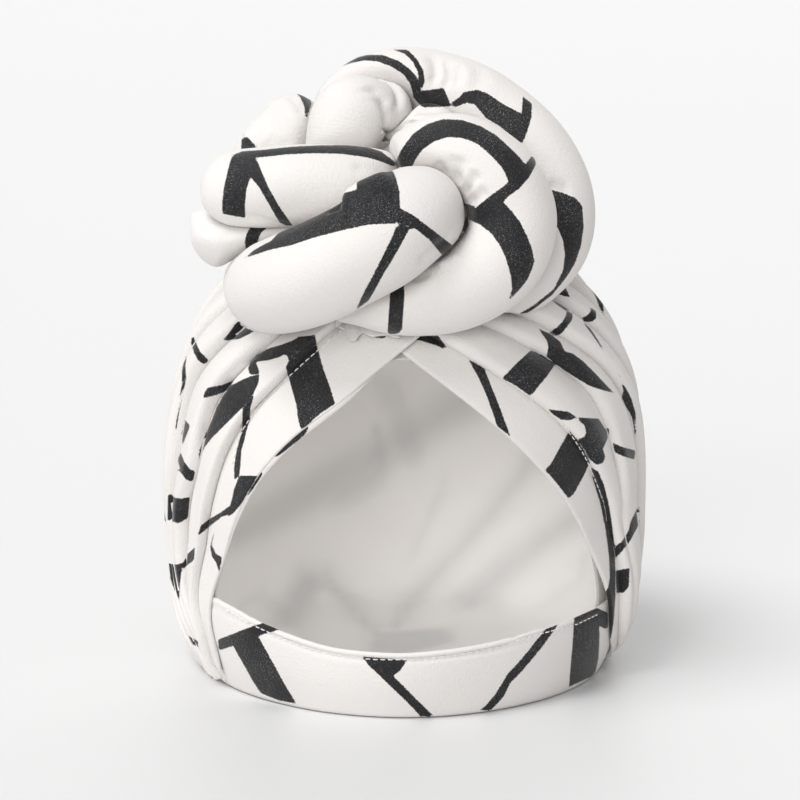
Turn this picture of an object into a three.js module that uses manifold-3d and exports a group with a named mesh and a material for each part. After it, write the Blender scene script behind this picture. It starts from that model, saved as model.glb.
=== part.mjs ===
// A pre-tied turban headwrap that stands on a table with its opening to the front:
// a soft cap, a band across the foot of the opening, two pleated wraps that cross
// over the forehead, and a big knot of padded cloth rolls above them.
// Millimetres, +Z up, the front is -Y. The origin is on the table, under the cap.

import * as THREE from "three";
import { mergeVertices } from "three/addons/utils/BufferGeometryUtils.js";
import Module from "manifold-3d";

const wasm = await Module();
wasm.setup();

// Driving dimensions of the smooth dome that the cap follows
const HALF_WIDTH = 95;
const FRONT_DEPTH = 95;
const BACK_DEPTH = 110;
const CAP_HEIGHT = 185;
const WIDEST_HEIGHT = 70;
const AXIS_Y = 5;
const TOP_LEAN = 25; // how far the top lies behind the widest section
const BELLY_SIDE = 112; // depth of the full dome below its widest section, without the table
const BELLY_FRONT = 125;
const SQUARENESS = 2.8; // exponent of the rounded profile, 2 being an ellipse
const PLAN_ROUNDNESS = 1.88; // the same seen from above, where the front is a little pointed

// Cloth
const CAP_CLOTH = 1.8;
const WRAP_CLOTH = 1.8;
const BAND_CLOTH = 2.2;
const LAYER_GAP = 1.4; // air between two loose layers
const TOUCH_GAP = 0.35; // between two pieces that press on each other
const FOLD_HEIGHT = 7.5; // of a full pleat above the cloth round it
const FOLD_SLOPE = 0.55; // the most that a pleat's height can be of its width
const RIM_SETBACK = 4; // how far the cap's own edge lies behind the edge of wraps and band

// Band across the foot of the opening. turn is the angle round the dome from the front,
// height the share of BAND_HEIGHT there.
const BAND_HEIGHT = 29.3;
const BAND_TOP = [
  { turn: -68, height: 1.47 },
  { turn: -50, height: 1.365 },
  { turn: -34, height: 1.184 },
  { turn: -18, height: 1.024 },
  { turn: 0, height: 1.0 },
  { turn: 20, height: 1.072 },
  { turn: 36, height: 1.174 },
  { turn: 58, height: 1.212 },
  { turn: 78, height: 1.263 },
];
const BAND_FULLNESS = 1.2; // how far the middle of the band's height swells

// Knot
const ROLL_DIAMETER = 39;
const ROLL_END_TURN = 72; // degrees that a roll's rounded end turns in, 90 being a full ball
const SEAT_DROP = 13; // how far below the cap's top the knot is sewn on
const GATHER_SETBACK = 42; // how far behind the seat the wraps gather, under the knot

// The visible edge of each wrap, from the crossing down to the foot of the opening.
// side is a share of HALF_WIDTH, up a share of CAP_HEIGHT.
const RIGHT_EDGE = [
  { side: -0.11, up: 0.845 },
  { side: 0.06, up: 0.783 },
  { side: 0.26, up: 0.707 },
  { side: 0.442, up: 0.627 },
  { side: 0.591, up: 0.545 },
  { side: 0.71, up: 0.459 },
  { side: 0.8, up: 0.361 },
  { side: 0.87, up: 0.235 },
  { side: 0.9, up: 0.1 },
  { side: 0.87, up: -0.03 },
];
const LEFT_EDGE = [
  { side: -0.13, up: 0.86 },
  { side: 0.1, up: 0.772 },
  { side: 0.286, up: 0.699 },
  { side: 0.48, up: 0.62 },
  { side: 0.63, up: 0.529 },
  { side: 0.727, up: 0.426 },
  { side: 0.79, up: 0.317 },
  { side: 0.832, up: 0.19 },
  { side: 0.795, up: 0.09 },
  { side: 0.75, up: -0.03 },
];

// Pleats of a wrap, from the flat hem at its edge to its back seam. top, middle and foot
// are where the pleat begins, as shares of the wrap's width at those three levels;
// height is a share of FOLD_HEIGHT, lean how far its crest rolls towards the edge.
const RIGHT_PLEATS = [
  { top: 0.0, middle: 0.0, foot: 0.0, height: 0.0, lean: 0.0 },
  { top: 0.22, middle: 0.17, foot: 0.1, height: 0.85, lean: 0.22 },
  { top: 0.36, middle: 0.3, foot: 0.26, height: 1.0, lean: 0.22 },
  { top: 0.48, middle: 0.42, foot: 0.4, height: 0.9, lean: 0.2 },
  { top: 0.6, middle: 0.54, foot: 0.52, height: 1.0, lean: 0.2 },
  { top: 0.72, middle: 0.67, foot: 0.66, height: 0.85, lean: 0.18 },
  { top: 0.85, middle: 0.82, foot: 0.82, height: 0.75, lean: 0.15 },
];
const LEFT_PLEATS = [
  { top: 0.0, middle: 0.0, foot: 0.0, height: 0.0, lean: 0.0 },
  { top: 0.25, middle: 0.22, foot: 0.16, height: 0.8, lean: 0.12 },
  { top: 0.37, middle: 0.33, foot: 0.32, height: 0.95, lean: 0.18 },
  { top: 0.49, middle: 0.45, foot: 0.45, height: 1.0, lean: 0.2 },
  { top: 0.61, middle: 0.57, foot: 0.57, height: 0.95, lean: 0.2 },
  { top: 0.73, middle: 0.7, foot: 0.7, height: 0.85, lean: 0.18 },
  { top: 0.86, middle: 0.84, foot: 0.84, height: 0.75, lean: 0.15 },
];
const BACK_SEAM_TURN = 152; // degrees round the gathering line from the front
const BACK_SEAM_FALL = { top: 12, foot: 174 }; // degrees from the gather at the seam's ends
const EDGE_END = { fall: 176, turn: 40 }; // the same for the visible edge's lower end
const CLIMB = { from: 0.66, to: 0.82 }; // share of the way down where a wrap climbs the band

// Centre lines of the knot's rolls from the seat, in roll diameters, with the roll's own
// thickness as a share of ROLL_DIAMETER. A roll keeps clear of all the rolls above it.
const ROLLS = {
  roll_front: [
    { x: -1.18, y: 0.2, z: 0.36, thick: 0.9 },
    { x: -1.42, y: -0.5, z: 0.12, thick: 1.0 },
    { x: -0.98, y: -1.1, z: 0.3, thick: 1.06 },
    { x: -0.31, y: -1.32, z: 0.66, thick: 1.06 },
    { x: 0.1, y: -1.02, z: 0.92, thick: 1.0 },
    { x: 0.36, y: -0.4, z: 0.95, thick: 0.85 },
  ],
  roll_left: [
    { x: 0.05, y: 0.0, z: 1.0, thick: 0.85 },
    { x: -0.5, y: -0.46, z: 1.1, thick: 0.96 },
    { x: -1.15, y: -0.54, z: 1.1, thick: 0.98 },
    { x: -1.72, y: -0.34, z: 1.05, thick: 0.96 },
  ],
  roll_right: [
    { x: -0.25, y: 0.3, z: 0.98, thick: 0.85 },
    { x: 0.12, y: -0.25, z: 1.3, thick: 0.92 },
    { x: 0.52, y: -0.55, z: 1.46, thick: 0.96 },
    { x: 0.92, y: -0.68, z: 1.24, thick: 0.98 },
    { x: 1.1, y: -0.72, z: 0.85, thick: 1.0 },
    { x: 0.98, y: -0.8, z: 0.46, thick: 1.0 },
    { x: 0.58, y: -0.86, z: 0.2, thick: 0.98 },
    { x: 0.02, y: -0.82, z: 0.1, thick: 0.94 },
    { x: -0.55, y: -0.56, z: 0.12, thick: 0.85 },
  ],
  roll_left_under: [
    { x: -1.78, y: -0.08, z: 0.76, thick: 0.94 },
    { x: -1.4, y: -0.12, z: 0.64, thick: 0.92 },
    { x: -0.8, y: -0.14, z: 0.58, thick: 0.85 },
  ],
  roll_upper_left: [
    { x: -0.62, y: 0.24, z: 1.1, thick: 0.85 },
    { x: -0.62, y: 0.12, z: 1.5, thick: 0.88 },
    { x: -0.56, y: 0.16, z: 1.86, thick: 0.86 },
    { x: -0.24, y: 0.42, z: 1.92, thick: 0.7 },
  ],
  roll_outer: [
    { x: -0.72, y: 0.75, z: 1.6, thick: 0.85 },
    { x: -0.5, y: 0.72, z: 1.95, thick: 0.9 },
    { x: -0.12, y: 0.72, z: 2.12, thick: 0.92 },
    { x: 0.36, y: 0.72, z: 2.08, thick: 0.92 },
    { x: 0.85, y: 0.64, z: 1.86, thick: 0.96 },
    { x: 1.32, y: 0.46, z: 1.45, thick: 1.0 },
    { x: 1.55, y: 0.3, z: 0.98, thick: 1.0 },
    { x: 1.5, y: 0.12, z: 0.52, thick: 1.0 },
    { x: 1.12, y: -0.1, z: 0.16, thick: 0.96 },
    { x: 0.62, y: -0.2, z: 0.06, thick: 0.85 },
  ],
  roll_far_left: [
    { x: -1.3, y: 0.6, z: 0.95, thick: 0.9 },
    { x: -1.34, y: 0.56, z: 1.3, thick: 0.94 },
    { x: -1.12, y: 0.76, z: 1.62, thick: 0.9 },
  ],
  roll_heart: [
    { x: -0.12, y: 0.26, z: 1.7, thick: 0.5 },
    { x: 0.35, y: 0.28, z: 1.74, thick: 0.62 },
    { x: 0.66, y: 0.5, z: 1.5, thick: 0.75 },
    { x: 0.5, y: 0.85, z: 1.2, thick: 0.85 },
  ],
  roll_back: [
    { x: -1.35, y: 0.9, z: 0.6, thick: 0.95 },
    { x: -0.85, y: 1.4, z: 0.88, thick: 1.1 },
    { x: 0.0, y: 1.56, z: 1.05, thick: 1.2 },
    { x: 0.85, y: 1.4, z: 0.88, thick: 1.1 },
    { x: 1.4, y: 0.88, z: 0.6, thick: 0.95 },
  ],
};

// How finely the pieces are faceted
const CAP_STEPS = { round: 30, up: 11, edge: 40 };
const WRAP_STEPS = { pleat: 5, down: 16 };
const BAND_STEPS = { round: 24, up: 3 };
const ROLL_STEPS = { round: 10, between: 2, end: 3 };

const rad = THREE.MathUtils.degToRad;
const { lerp, smoothstep } = THREE.MathUtils;
const vec = (x, y, z) => new THREE.Vector3(x, y, z);

// The dome: below 0 inside it, 0 on it. A rounded profile whose axis leans back above the
// widest section, and whose front stays full below it.
const riseAt = (z) => (z - WIDEST_HEIGHT) / (CAP_HEIGHT - WIDEST_HEIGHT);
const axisAt = (z) => AXIS_Y + TOP_LEAN * Math.max(0, riseAt(z)) ** 2;
function domeLevel(p) {
  const above = p.z > WIDEST_HEIGHT;
  const rise = riseAt(p.z);
  const axisY = axisAt(p.z);
  const across = p.x / HALF_WIDTH;
  const along = (p.y - axisY) / (p.y < axisY ? FRONT_DEPTH : BACK_DEPTH);
  const power = PLAN_ROUNDNESS;
  const spread = (Math.abs(across) ** power + Math.abs(along) ** power) ** (1 / power);
  const frontness = spread > 0 ? Math.max(0, -along / spread) : 0;
  const belly = lerp(BELLY_SIDE, BELLY_FRONT, frontness ** 2);
  const up = above ? rise : (WIDEST_HEIGHT - p.z) / belly;
  return spread ** SQUARENESS + up ** SQUARENESS - 1;
}

// The point where a ray from inside meets the dome
function onDome(from, direction) {
  const reach = 3 * CAP_HEIGHT;
  let [near, far] = [0, reach];
  for (let halving = 0; halving < 40; halving++) {
    const middle = (near + far) / 2;
    if (domeLevel(from.clone().addScaledVector(direction, middle)) < 0) near = middle;
    else far = middle;
  }
  return from.clone().addScaledVector(direction, near);
}

// The dome's outward normal
function domeNormal(p) {
  const step = 0.01;
  const slope = (axis) =>
    domeLevel(p.clone().addScaledVector(axis, step)) -
    domeLevel(p.clone().addScaledVector(axis, -step));
  return vec(slope(vec(1, 0, 0)), slope(vec(0, 1, 0)), slope(vec(0, 0, 1))).normalize();
}

const lifted = (p, height) => p.clone().addScaledVector(domeNormal(p), height);

// The point of the dome's front at a width and a height
const frontPoint = (x, z) => onDome(vec(x, axisAt(z), z), vec(0, -1, 0));

// A solid from triangles, each three points, whichever way round they all face
function solidOf(triangles) {
  const geometry = new THREE.BufferGeometry().setFromPoints(triangles.flat());
  const merged = mergeVertices(geometry, 1e-4);
  const corners = [];
  for (let i = 0; i < merged.index.count; i += 3) {
    const [a, b, c] = [0, 1, 2].map((k) => merged.index.getX(i + k));
    if (a !== b && b !== c && c !== a) corners.push([a, b, c]);
  }
  const make = (faces) =>
    new wasm.Manifold(
      new wasm.Mesh({
        numProp: 3,
        vertProperties: merged.attributes.position.array,
        triVerts: new Uint32Array(faces.flat()),
      }),
    );
  const made = make(corners);
  return made.volume() > 0 ? made : make(corners.map(([a, b, c]) => [a, c, b]));
}

// Two triangles for each cell between neighbouring rows of points
function sheet(rows, ring) {
  const faces = [];
  for (let j = 0; j + 1 < rows.length; j++) {
    const count = rows[j].length;
    for (let i = 0; i < (ring ? count : count - 1); i++) {
      const k = (i + 1) % count;
      faces.push([rows[j][i], rows[j][k], rows[j + 1][k]]);
      faces.push([rows[j][i], rows[j + 1][k], rows[j + 1][i]]);
    }
  }
  return faces;
}

// A wall of cloth between two sheets of points that match row for row
function wall(outer, inner, ring) {
  const last = outer.length - 1;
  const turned = (faces) => faces.map(([a, b, c]) => [a, c, b]);
  const faces = [
    ...sheet(outer, ring),
    ...turned(sheet(inner, ring)),
    ...sheet([inner[0], outer[0]], ring),
    ...sheet([outer[last], inner[last]], ring),
  ];
  if (!ring) {
    const column = (rows, i) => rows.map((row) => row.at(i));
    faces.push(...turned(sheet([column(inner, 0), column(outer, 0)], false)));
    faces.push(...turned(sheet([column(outer, -1), column(inner, -1)], false)));
  }
  return solidOf(faces);
}

// The largest connected body of a solid, without the slivers that cuts leave
const largest = (solid) =>
  solid
    .asOriginal()
    .simplify(0.06)
    .decompose()
    .reduce((best, body) => (body.volume() > best.volume() ? body : best));

// Height of the band's top edge at an angle round the dome
function bandTop(degrees) {
  const next = Math.max(1, BAND_TOP.findIndex(({ turn }) => turn >= degrees));
  const [a, b] = [BAND_TOP[next - 1], BAND_TOP[next]];
  return BAND_HEIGHT * lerp(a.height, b.height, (degrees - a.turn) / (b.turn - a.turn));
}

// The dome's point at an angle round it from the front, at a height
function roundPoint(degrees, z) {
  const out = vec(Math.sin(rad(degrees)), -Math.cos(rad(degrees)), 0);
  return onDome(vec(0, axisAt(z), z), out);
}

// The cap's own edge in the plane of the front: a closed loop set back from the wraps
// and the band
function capEdge() {
  const middle = vec(0, 0, 0.45 * CAP_HEIGHT);
  const side = (rows, sign) =>
    rows
      .filter(({ side, up }) => side >= 0 && up * CAP_HEIGHT > 1.2 * bandTop(BAND_TOP[0].turn))
      .map(({ side, up }) => vec(sign * side * HALF_WIDTH, 0, up * CAP_HEIGHT));
  const foot = [60, 30, 0, -30, -60].map((degrees) => {
    const p = roundPoint(degrees, bandTop(degrees));
    return vec(p.x, 0, p.z);
  });
  const loop = [...side(RIGHT_EDGE, 1), ...foot, ...side(LEFT_EDGE, -1).reverse()];
  const setBack = loop.map((p) => {
    const out = p.clone().sub(middle).normalize();
    return p.clone().addScaledVector(out, RIM_SETBACK);
  });
  const curve = new THREE.CatmullRomCurve3(setBack, true, "catmullrom", 0.5);
  return curve.getSpacedPoints(CAP_STEPS.edge).slice(0, -1);
}

// The dome as a solid from a height up, lifted a little or sunk
function makeDome(lift, floor = 0) {
  const points = [];
  for (let j = 0; j <= CAP_STEPS.up; j++) {
    const z = lerp(floor, CAP_HEIGHT, Math.sin((Math.PI / 2) * (j / CAP_STEPS.up)));
    for (let i = 0; i < CAP_STEPS.round; i++) {
      const p = roundPoint((360 * i) / CAP_STEPS.round, Math.min(z, 0.998 * CAP_HEIGHT));
      const q = j === 0 ? p : lifted(p, lift);
      if (j === 0) q.addScaledVector(domeNormal(p).setZ(0).normalize(), lift);
      points.push(q.toArray());
    }
  }
  return wasm.Manifold.hull(points);
}

// The cap: a bag of one layer, open at the front and flat where it rests on the table
function makeCap() {
  const loop = capEdge().map((p) => [p.x, p.z]);
  const deep = 2 * FRONT_DEPTH;
  const opening = new wasm.CrossSection([loop], "NonZero").extrude(deep).rotate([90, 0, 0]);
  return makeDome(0).subtract(makeDome(-CAP_CLOTH, CAP_CLOTH)).subtract(opening);
}

// The band: a doubled strip that stands on the table across the foot of the opening
function makeBand() {
  const outer = [];
  const inner = [];
  for (let j = 0; j <= BAND_STEPS.up; j++) {
    const share = j / BAND_STEPS.up;
    const swell = BAND_FULLNESS * Math.sin(Math.PI * share);
    const [outerRow, innerRow] = [[], []];
    for (let i = 0; i <= BAND_STEPS.round; i++) {
      const degrees = lerp(BAND_TOP[0].turn, BAND_TOP.at(-1).turn, i / BAND_STEPS.round);
      const z = share * bandTop(degrees);
      const p = roundPoint(degrees, z);
      const out = domeNormal(p).setZ(0).normalize();
      innerRow.push(p.clone().addScaledVector(out, LAYER_GAP));
      outerRow.push(p.clone().addScaledVector(out, LAYER_GAP + BAND_CLOTH + swell));
    }
    outer.push(outerRow);
    inner.push(innerRow);
  }
  return wall(outer, inner, false);
}

// The knot's seat, the point behind it where the wraps gather, and where each wrap is
// sewn to the band's end
const SEAT = frontPoint(0, CAP_HEIGHT - SEAT_DROP);
const GATHER = onDome(vec(0, SEAT.y + GATHER_SETBACK, WIDEST_HEIGHT), vec(0, 0, 1));
const wrapFoot = (sign, edge) =>
  frontPoint(sign * edge.at(-1).side * HALF_WIDTH, edge.at(-1).up * CAP_HEIGHT);

// Directions round the line from the gather to a wrap's foot. fall is the angle from the
// gather, turn the angle round the line, 0 to the front and 90 outwards.
function gatherFrame(sign, foot) {
  const middle = GATHER.clone().add(foot).multiplyScalar(0.5);
  const axis = GATHER.clone().sub(foot).normalize();
  const front = vec(0, -1, 0).addScaledVector(axis, axis.y).normalize();
  const outwards = axis.clone().cross(front);
  if (outwards.x * sign < 0) outwards.negate();
  const direction = (fall, turn) =>
    axis
      .clone()
      .multiplyScalar(Math.cos(fall))
      .addScaledVector(front, Math.sin(fall) * Math.cos(turn))
      .addScaledVector(outwards, Math.sin(fall) * Math.sin(turn));
  const polar = (p) => {
    const d = p.clone().sub(middle).normalize();
    return { fall: Math.acos(d.dot(axis)), turn: Math.atan2(d.dot(outwards), d.dot(front)) };
  };
  return { middle, direction, polar };
}

// The value of a list at a share of its length, straight between neighbours
function along(list, share) {
  const at = share * (list.length - 1);
  const k = THREE.MathUtils.clamp(Math.floor(at), 0, list.length - 2);
  return lerp(list[k], list[k + 1], at - k);
}

// A wrap of pleated cloth between its edge and its back seam, from the gather (down 0) to
// the foot (down 1). below, above and beside grow it inwards, outwards and past its ends;
// with crests true it is as high all over as the crests, which the knot is cut clear of.
function makeWrap(sign, edge, pleats, options) {
  const { topLift = 0, below = 0, above = 0, beside = 0, crests = false } = options;
  const past = beside / (2 * CAP_HEIGHT);
  const frame = gatherFrame(sign, wrapFoot(sign, edge));
  const rim = edge
    .slice(0, -1)
    .map(({ side, up }) => frame.polar(frontPoint(sign * side * HALF_WIDTH, up * CAP_HEIGHT)));
  const edgeFall = (down) => along([...rim.map(({ fall }) => fall), rad(EDGE_END.fall)], down);
  const edgeTurn = (down) => along([...rim.map(({ turn }) => turn), rad(EDGE_END.turn)], down);
  const seamFall = (down) => rad(lerp(BACK_SEAM_FALL.top, BACK_SEAM_FALL.foot, down));
  const begins = (k, down) => {
    if (k >= pleats.length) return 1;
    const { top, middle, foot } = pleats[k];
    return down < 0.5 ? lerp(top, middle, 2 * down) : lerp(middle, foot, 2 * down - 1);
  };
  const place = (share, down) => {
    const fall = lerp(edgeFall(down), seamFall(down), share);
    const turn = lerp(edgeTurn(down), rad(BACK_SEAM_TURN), share);
    return onDome(frame.middle, frame.direction(fall, turn));
  };
  const outer = [];
  const inner = [];
  for (let j = 0; j <= WRAP_STEPS.down; j++) {
    const atEnd = (j === WRAP_STEPS.down) - (j === 0);
    const down = j / WRAP_STEPS.down + past * atEnd;
    const climbed = smoothstep(down, CLIMB.from, CLIMB.to);
    const overBand = (BAND_CLOTH + BAND_FULLNESS + TOUCH_GAP) * climbed;
    const [outerRow, innerRow] = [[], []];
    pleats.forEach((pleat, k) => {
      const [from, to] = [begins(k, down), begins(k + 1, down)];
      const width = place(from, down).distanceTo(place(to, down));
      const flattened = smoothstep(down, -0.05, 0.3);
      const height = Math.min(FOLD_HEIGHT * pleat.height * flattened, FOLD_SLOPE * width);
      const steps = k === 0 ? 3 : WRAP_STEPS.pleat;
      const last = k === pleats.length - 1 ? steps : steps - 1;
      for (let i = 0; i <= last; i++) {
        const bump = Math.sin((Math.PI * i) / steps);
        const atSide = (k === pleats.length - 1 && i === steps) - (k === 0 && i === 0);
        const share = lerp(from, to, i / steps - pleat.lean * bump) + past * atSide;
        const p = place(share, down);
        const nearCrossing = (1 - smoothstep(share, 0.2, 0.4)) * (1 - smoothstep(down, 0, 0.25));
        const nearBand = 1 - smoothstep(share, 0.1, 0.4);
        const base = LAYER_GAP + topLift * nearCrossing + overBand * nearBand;
        const rise = pleat.height ? height * (crests ? 1 : bump ** 0.8) : 0;
        outerRow.push(lifted(p, base + WRAP_CLOTH + rise + above));
        innerRow.push(lifted(p, base + rise - below));
      }
    });
    outer.push(outerRow);
    inner.push(innerRow);
  }
  return wall(outer, inner, false).trimByPlane([0, 0, 1], 0);
}

// A roll: a round section swept along its centre line, with rounded ends
function makeRoll(rows, grow = 0) {
  const places = rows.map(({ x, y, z }) =>
    SEAT.clone().addScaledVector(vec(x, y, z), ROLL_DIAMETER),
  );
  const curve = new THREE.CatmullRomCurve3(places, false, "catmullrom", 0.5);
  const spans = rows.length - 1;
  const stations = spans * ROLL_STEPS.between;
  const radiusAt = (t) => {
    const k = Math.min(Math.floor(t * spans), spans - 1);
    const thick = lerp(rows[k].thick, rows[k + 1].thick, smoothstep(t * spans - k, 0, 1));
    return (thick * ROLL_DIAMETER) / 2 + grow;
  };
  // The section at a share t of the line, moved on by a quarter turn of an end's dome
  const section = (t, bulge) => {
    const tangent = curve.getTangent(t);
    const radius = radiusAt(t);
    const centre = curve.getPoint(t).addScaledVector(tangent, radius * Math.sin(bulge));
    const up = vec(0.05, -1, 0.2).projectOnPlane(tangent).setLength(radius * Math.cos(bulge));
    const aside = tangent.clone().cross(up);
    return Array.from({ length: ROLL_STEPS.round }, (_, i) => {
      const a = (2 * Math.PI * i) / ROLL_STEPS.round;
      return centre
        .clone()
        .addScaledVector(up, Math.cos(a))
        .addScaledVector(aside, Math.sin(a))
        .toArray();
    });
  };
  const turned = (i) => rad(ROLL_END_TURN * ((i + 1) / ROLL_STEPS.end));
  const bulges = Array.from({ length: ROLL_STEPS.end }, (_, i) => turned(i));
  const sections = [
    ...bulges.toReversed().map((bulge) => section(0, -bulge)),
    ...Array.from({ length: stations + 1 }, (_, i) => section(i / stations, 0)),
    ...bulges.map((bulge) => section(1, bulge)),
  ];
  const links = sections.slice(1).map((next, k) => wasm.Manifold.hull([...sections[k], ...next]));
  return wasm.Manifold.union(links);
}

// The ground of the printed jersey
const OFF_WHITE = 0xf1efec;
const cloth = () =>
  new THREE.MeshStandardMaterial({ color: OFF_WHITE, roughness: 0.9, metalness: 0 });

const part = new THREE.Group();
function place(name, solid) {
  const mesh = solid.getMesh();
  const geometry = new THREE.BufferGeometry();
  geometry.setAttribute("position", new THREE.BufferAttribute(mesh.vertProperties, mesh.numProp));
  geometry.setIndex(new THREE.BufferAttribute(mesh.triVerts, 1));
  geometry.computeVertexNormals();
  const piece = new THREE.Mesh(geometry, cloth());
  piece.name = name;
  part.add(piece);
}

const CROSSING_LIFT = WRAP_CLOTH + LAYER_GAP;
const overRight = { topLift: CROSSING_LIFT };
const right = (options) => makeWrap(1, RIGHT_EDGE, RIGHT_PLEATS, options);
const left = (options) =>
  makeWrap(-1, LEFT_EDGE, LEFT_PLEATS, { ...overRight, ...options });
const grown = { below: TOUCH_GAP, above: TOUCH_GAP, beside: 2 * TOUCH_GAP };

place("cap", makeCap());
place("nape_band", largest(makeBand().subtract(right(grown)).subtract(left(grown))));
place("wrap_right", largest(right({}).subtract(left(grown))));
place("wrap_left", left({}));

const clearance = { ...grown, below: 8 * WRAP_CLOTH, crests: true };
const seatLift = LAYER_GAP + WRAP_CLOTH + CROSSING_LIFT + 2 * TOUCH_GAP;
const keepClear = [right(clearance), left(clearance), makeDome(seatLift)];
for (const [name, rows] of Object.entries(ROLLS)) {
  const cut = keepClear.reduce((roll, other) => roll.subtract(other), makeRoll(rows));
  place(name, largest(cut));
  keepClear.push(makeRoll(rows, TOUCH_GAP));
}

export default part;
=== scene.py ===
# %% [markdown]
# A pre-tied turban headwrap in Blender
#
# The turban is sewn from a printed jersey: a soft cap, a band across the foot of its
# opening, two pleated wraps that cross over the forehead and a knot of stuffed rolls.
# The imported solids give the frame. Every soft piece is built again here as a surface
# worked out with numpy, because cloth needs folds and a print that solids don't have.

# %% Load the frame
import math

import bpy
import numpy as np
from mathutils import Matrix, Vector
from mathutils.bvhtree import BVHTree


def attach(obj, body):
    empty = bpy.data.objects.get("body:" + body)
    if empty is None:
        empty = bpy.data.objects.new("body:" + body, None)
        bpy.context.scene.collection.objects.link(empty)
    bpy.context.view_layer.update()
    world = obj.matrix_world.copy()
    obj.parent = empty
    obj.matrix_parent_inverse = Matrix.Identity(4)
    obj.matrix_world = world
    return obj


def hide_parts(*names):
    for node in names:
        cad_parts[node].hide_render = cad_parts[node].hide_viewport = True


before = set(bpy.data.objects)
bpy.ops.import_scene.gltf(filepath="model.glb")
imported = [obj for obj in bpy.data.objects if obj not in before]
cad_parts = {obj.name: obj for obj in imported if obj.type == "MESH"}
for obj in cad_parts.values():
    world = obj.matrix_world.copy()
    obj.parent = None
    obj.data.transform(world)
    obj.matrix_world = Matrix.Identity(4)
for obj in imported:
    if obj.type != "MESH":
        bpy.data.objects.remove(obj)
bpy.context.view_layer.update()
print("solids", sorted(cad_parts))

# %% [markdown]
# The camera comes first, because the print is charted as it is seen from the front. It
# stands 1.1 m away and ten degrees above the table, with a long lens. It could be placed
# by hand, but a position worked out from the angle keeps the chart and the view together.

# %% The camera
SEEN_FROM = math.radians(10)
DISTANCE = 1100.0
AIM = np.array([-1.76, 0.0, 118.7])
FOCAL = 2500.0  # in pixels of an 800 pixel view
VIEW = 800.0
MM_A_PIXEL = DISTANCE / FOCAL
EYE = AIM + DISTANCE * np.array([0, -math.cos(SEEN_FROM), math.sin(SEEN_FROM)])
FORWARD = np.array([0, math.cos(SEEN_FROM), -math.sin(SEEN_FROM)])
UPWARD = np.array([0, math.sin(SEEN_FROM), math.cos(SEEN_FROM)])

camera = bpy.data.objects.new("camera", bpy.data.cameras.new("camera"))
bpy.context.scene.collection.objects.link(camera)
camera.location = Vector(EYE) / 1000
camera.rotation_euler = (math.pi / 2 - SEEN_FROM, 0, 0)
camera.data.sensor_width = 36
camera.data.lens = 36 * FOCAL / VIEW
camera.data.clip_start = 0.05
camera.data.clip_end = 20
bpy.context.scene.camera = camera


def view_ray(px, py):
    """Unit direction from the eye through a pixel of the view."""
    ray = FORWARD + np.array([1, 0, 0]) * (px - VIEW / 2) / FOCAL + UPWARD * (VIEW / 2 - py) / FOCAL
    return ray / np.linalg.norm(ray)


# %% [markdown]
# All the cloth lies on one dome: a rounded profile whose top leans back, a little pointed
# at the front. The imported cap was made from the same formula, so cloth that is laid on
# it sits where the solids are.

# %% The dome
HALF_WIDTH, FRONT_DEPTH, BACK_DEPTH = 95.0, 95.0, 110.0
CAP_HEIGHT, WIDEST_HEIGHT = 185.0, 70.0
AXIS_Y, TOP_LEAN = 5.0, 25.0
BELLY_SIDE, BELLY_FRONT = 112.0, 125.0
SQUARENESS, PLAN_ROUNDNESS = 2.8, 1.88


def smooth(x, low, high):
    """0 below low, 1 above high, and 3x^2 - 2x^3 between."""
    t = np.clip((x - low) / (high - low), 0, 1)
    return t * t * (3 - 2 * t)


def rise_at(z):
    """0 at the widest height and 1 at the top."""
    return (z - WIDEST_HEIGHT) / (CAP_HEIGHT - WIDEST_HEIGHT)


def axis_at(z):
    """How far back the dome's axis lies: it leans back with the square of the rise."""
    return AXIS_Y + TOP_LEAN * np.maximum(0, rise_at(z)) ** 2


def dome_level(p):
    """spread^s + up^s - 1, below 0 inside: spread is a superellipse in plan."""
    x, y, z = p[..., 0], p[..., 1], p[..., 2]
    axis = axis_at(z)
    across = np.abs(x / HALF_WIDTH)
    along = (y - axis) / np.where(y < axis, FRONT_DEPTH, BACK_DEPTH)
    spread = (across**PLAN_ROUNDNESS + np.abs(along) ** PLAN_ROUNDNESS) ** (1 / PLAN_ROUNDNESS)
    frontness = np.maximum(0, -along / np.maximum(spread, 1e-9))
    belly = BELLY_SIDE + (BELLY_FRONT - BELLY_SIDE) * frontness**2
    up = np.where(z > WIDEST_HEIGHT, rise_at(z), (WIDEST_HEIGHT - z) / belly)
    return spread**SQUARENESS + np.abs(up) ** SQUARENESS - 1


def slope(p, level, step=0.01):
    """Gradient of a level function by central differences."""
    out = np.empty(p.shape)
    for k in range(3):
        nudge = np.zeros(3)
        nudge[k] = step
        out[..., k] = (level(p + nudge) - level(p - nudge)) / (2 * step)
    return out


def unit(v):
    """Vectors divided by their lengths."""
    return v / np.maximum(np.linalg.norm(v, axis=-1, keepdims=True), 1e-12)


def dome_normal(p):
    """The dome's gradient brought to length 1."""
    return unit(slope(p, dome_level))


def on_dome(origin, direction, level=dome_level):
    """Where rays from inside meet the dome, by halving the interval 40 times."""
    near = np.zeros(direction.shape[:-1])
    far = np.full(direction.shape[:-1], 3 * CAP_HEIGHT)
    for _ in range(40):
        middle = (near + far) / 2
        inside = level(origin + middle[..., None] * direction) < 0
        near, far = np.where(inside, middle, near), np.where(inside, far, middle)
    return origin + near[..., None] * direction


def front_point(x, z):
    """The dome's point straight in front of its axis plane, at a width and a height."""
    origin = np.stack([x, axis_at(z), z], -1)
    return on_dome(origin, np.broadcast_to([0.0, -1.0, 0.0], origin.shape))


print("dome top", on_dome(np.array([0, 30.0, 70]), np.array([0, 0, 1.0])))

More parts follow.
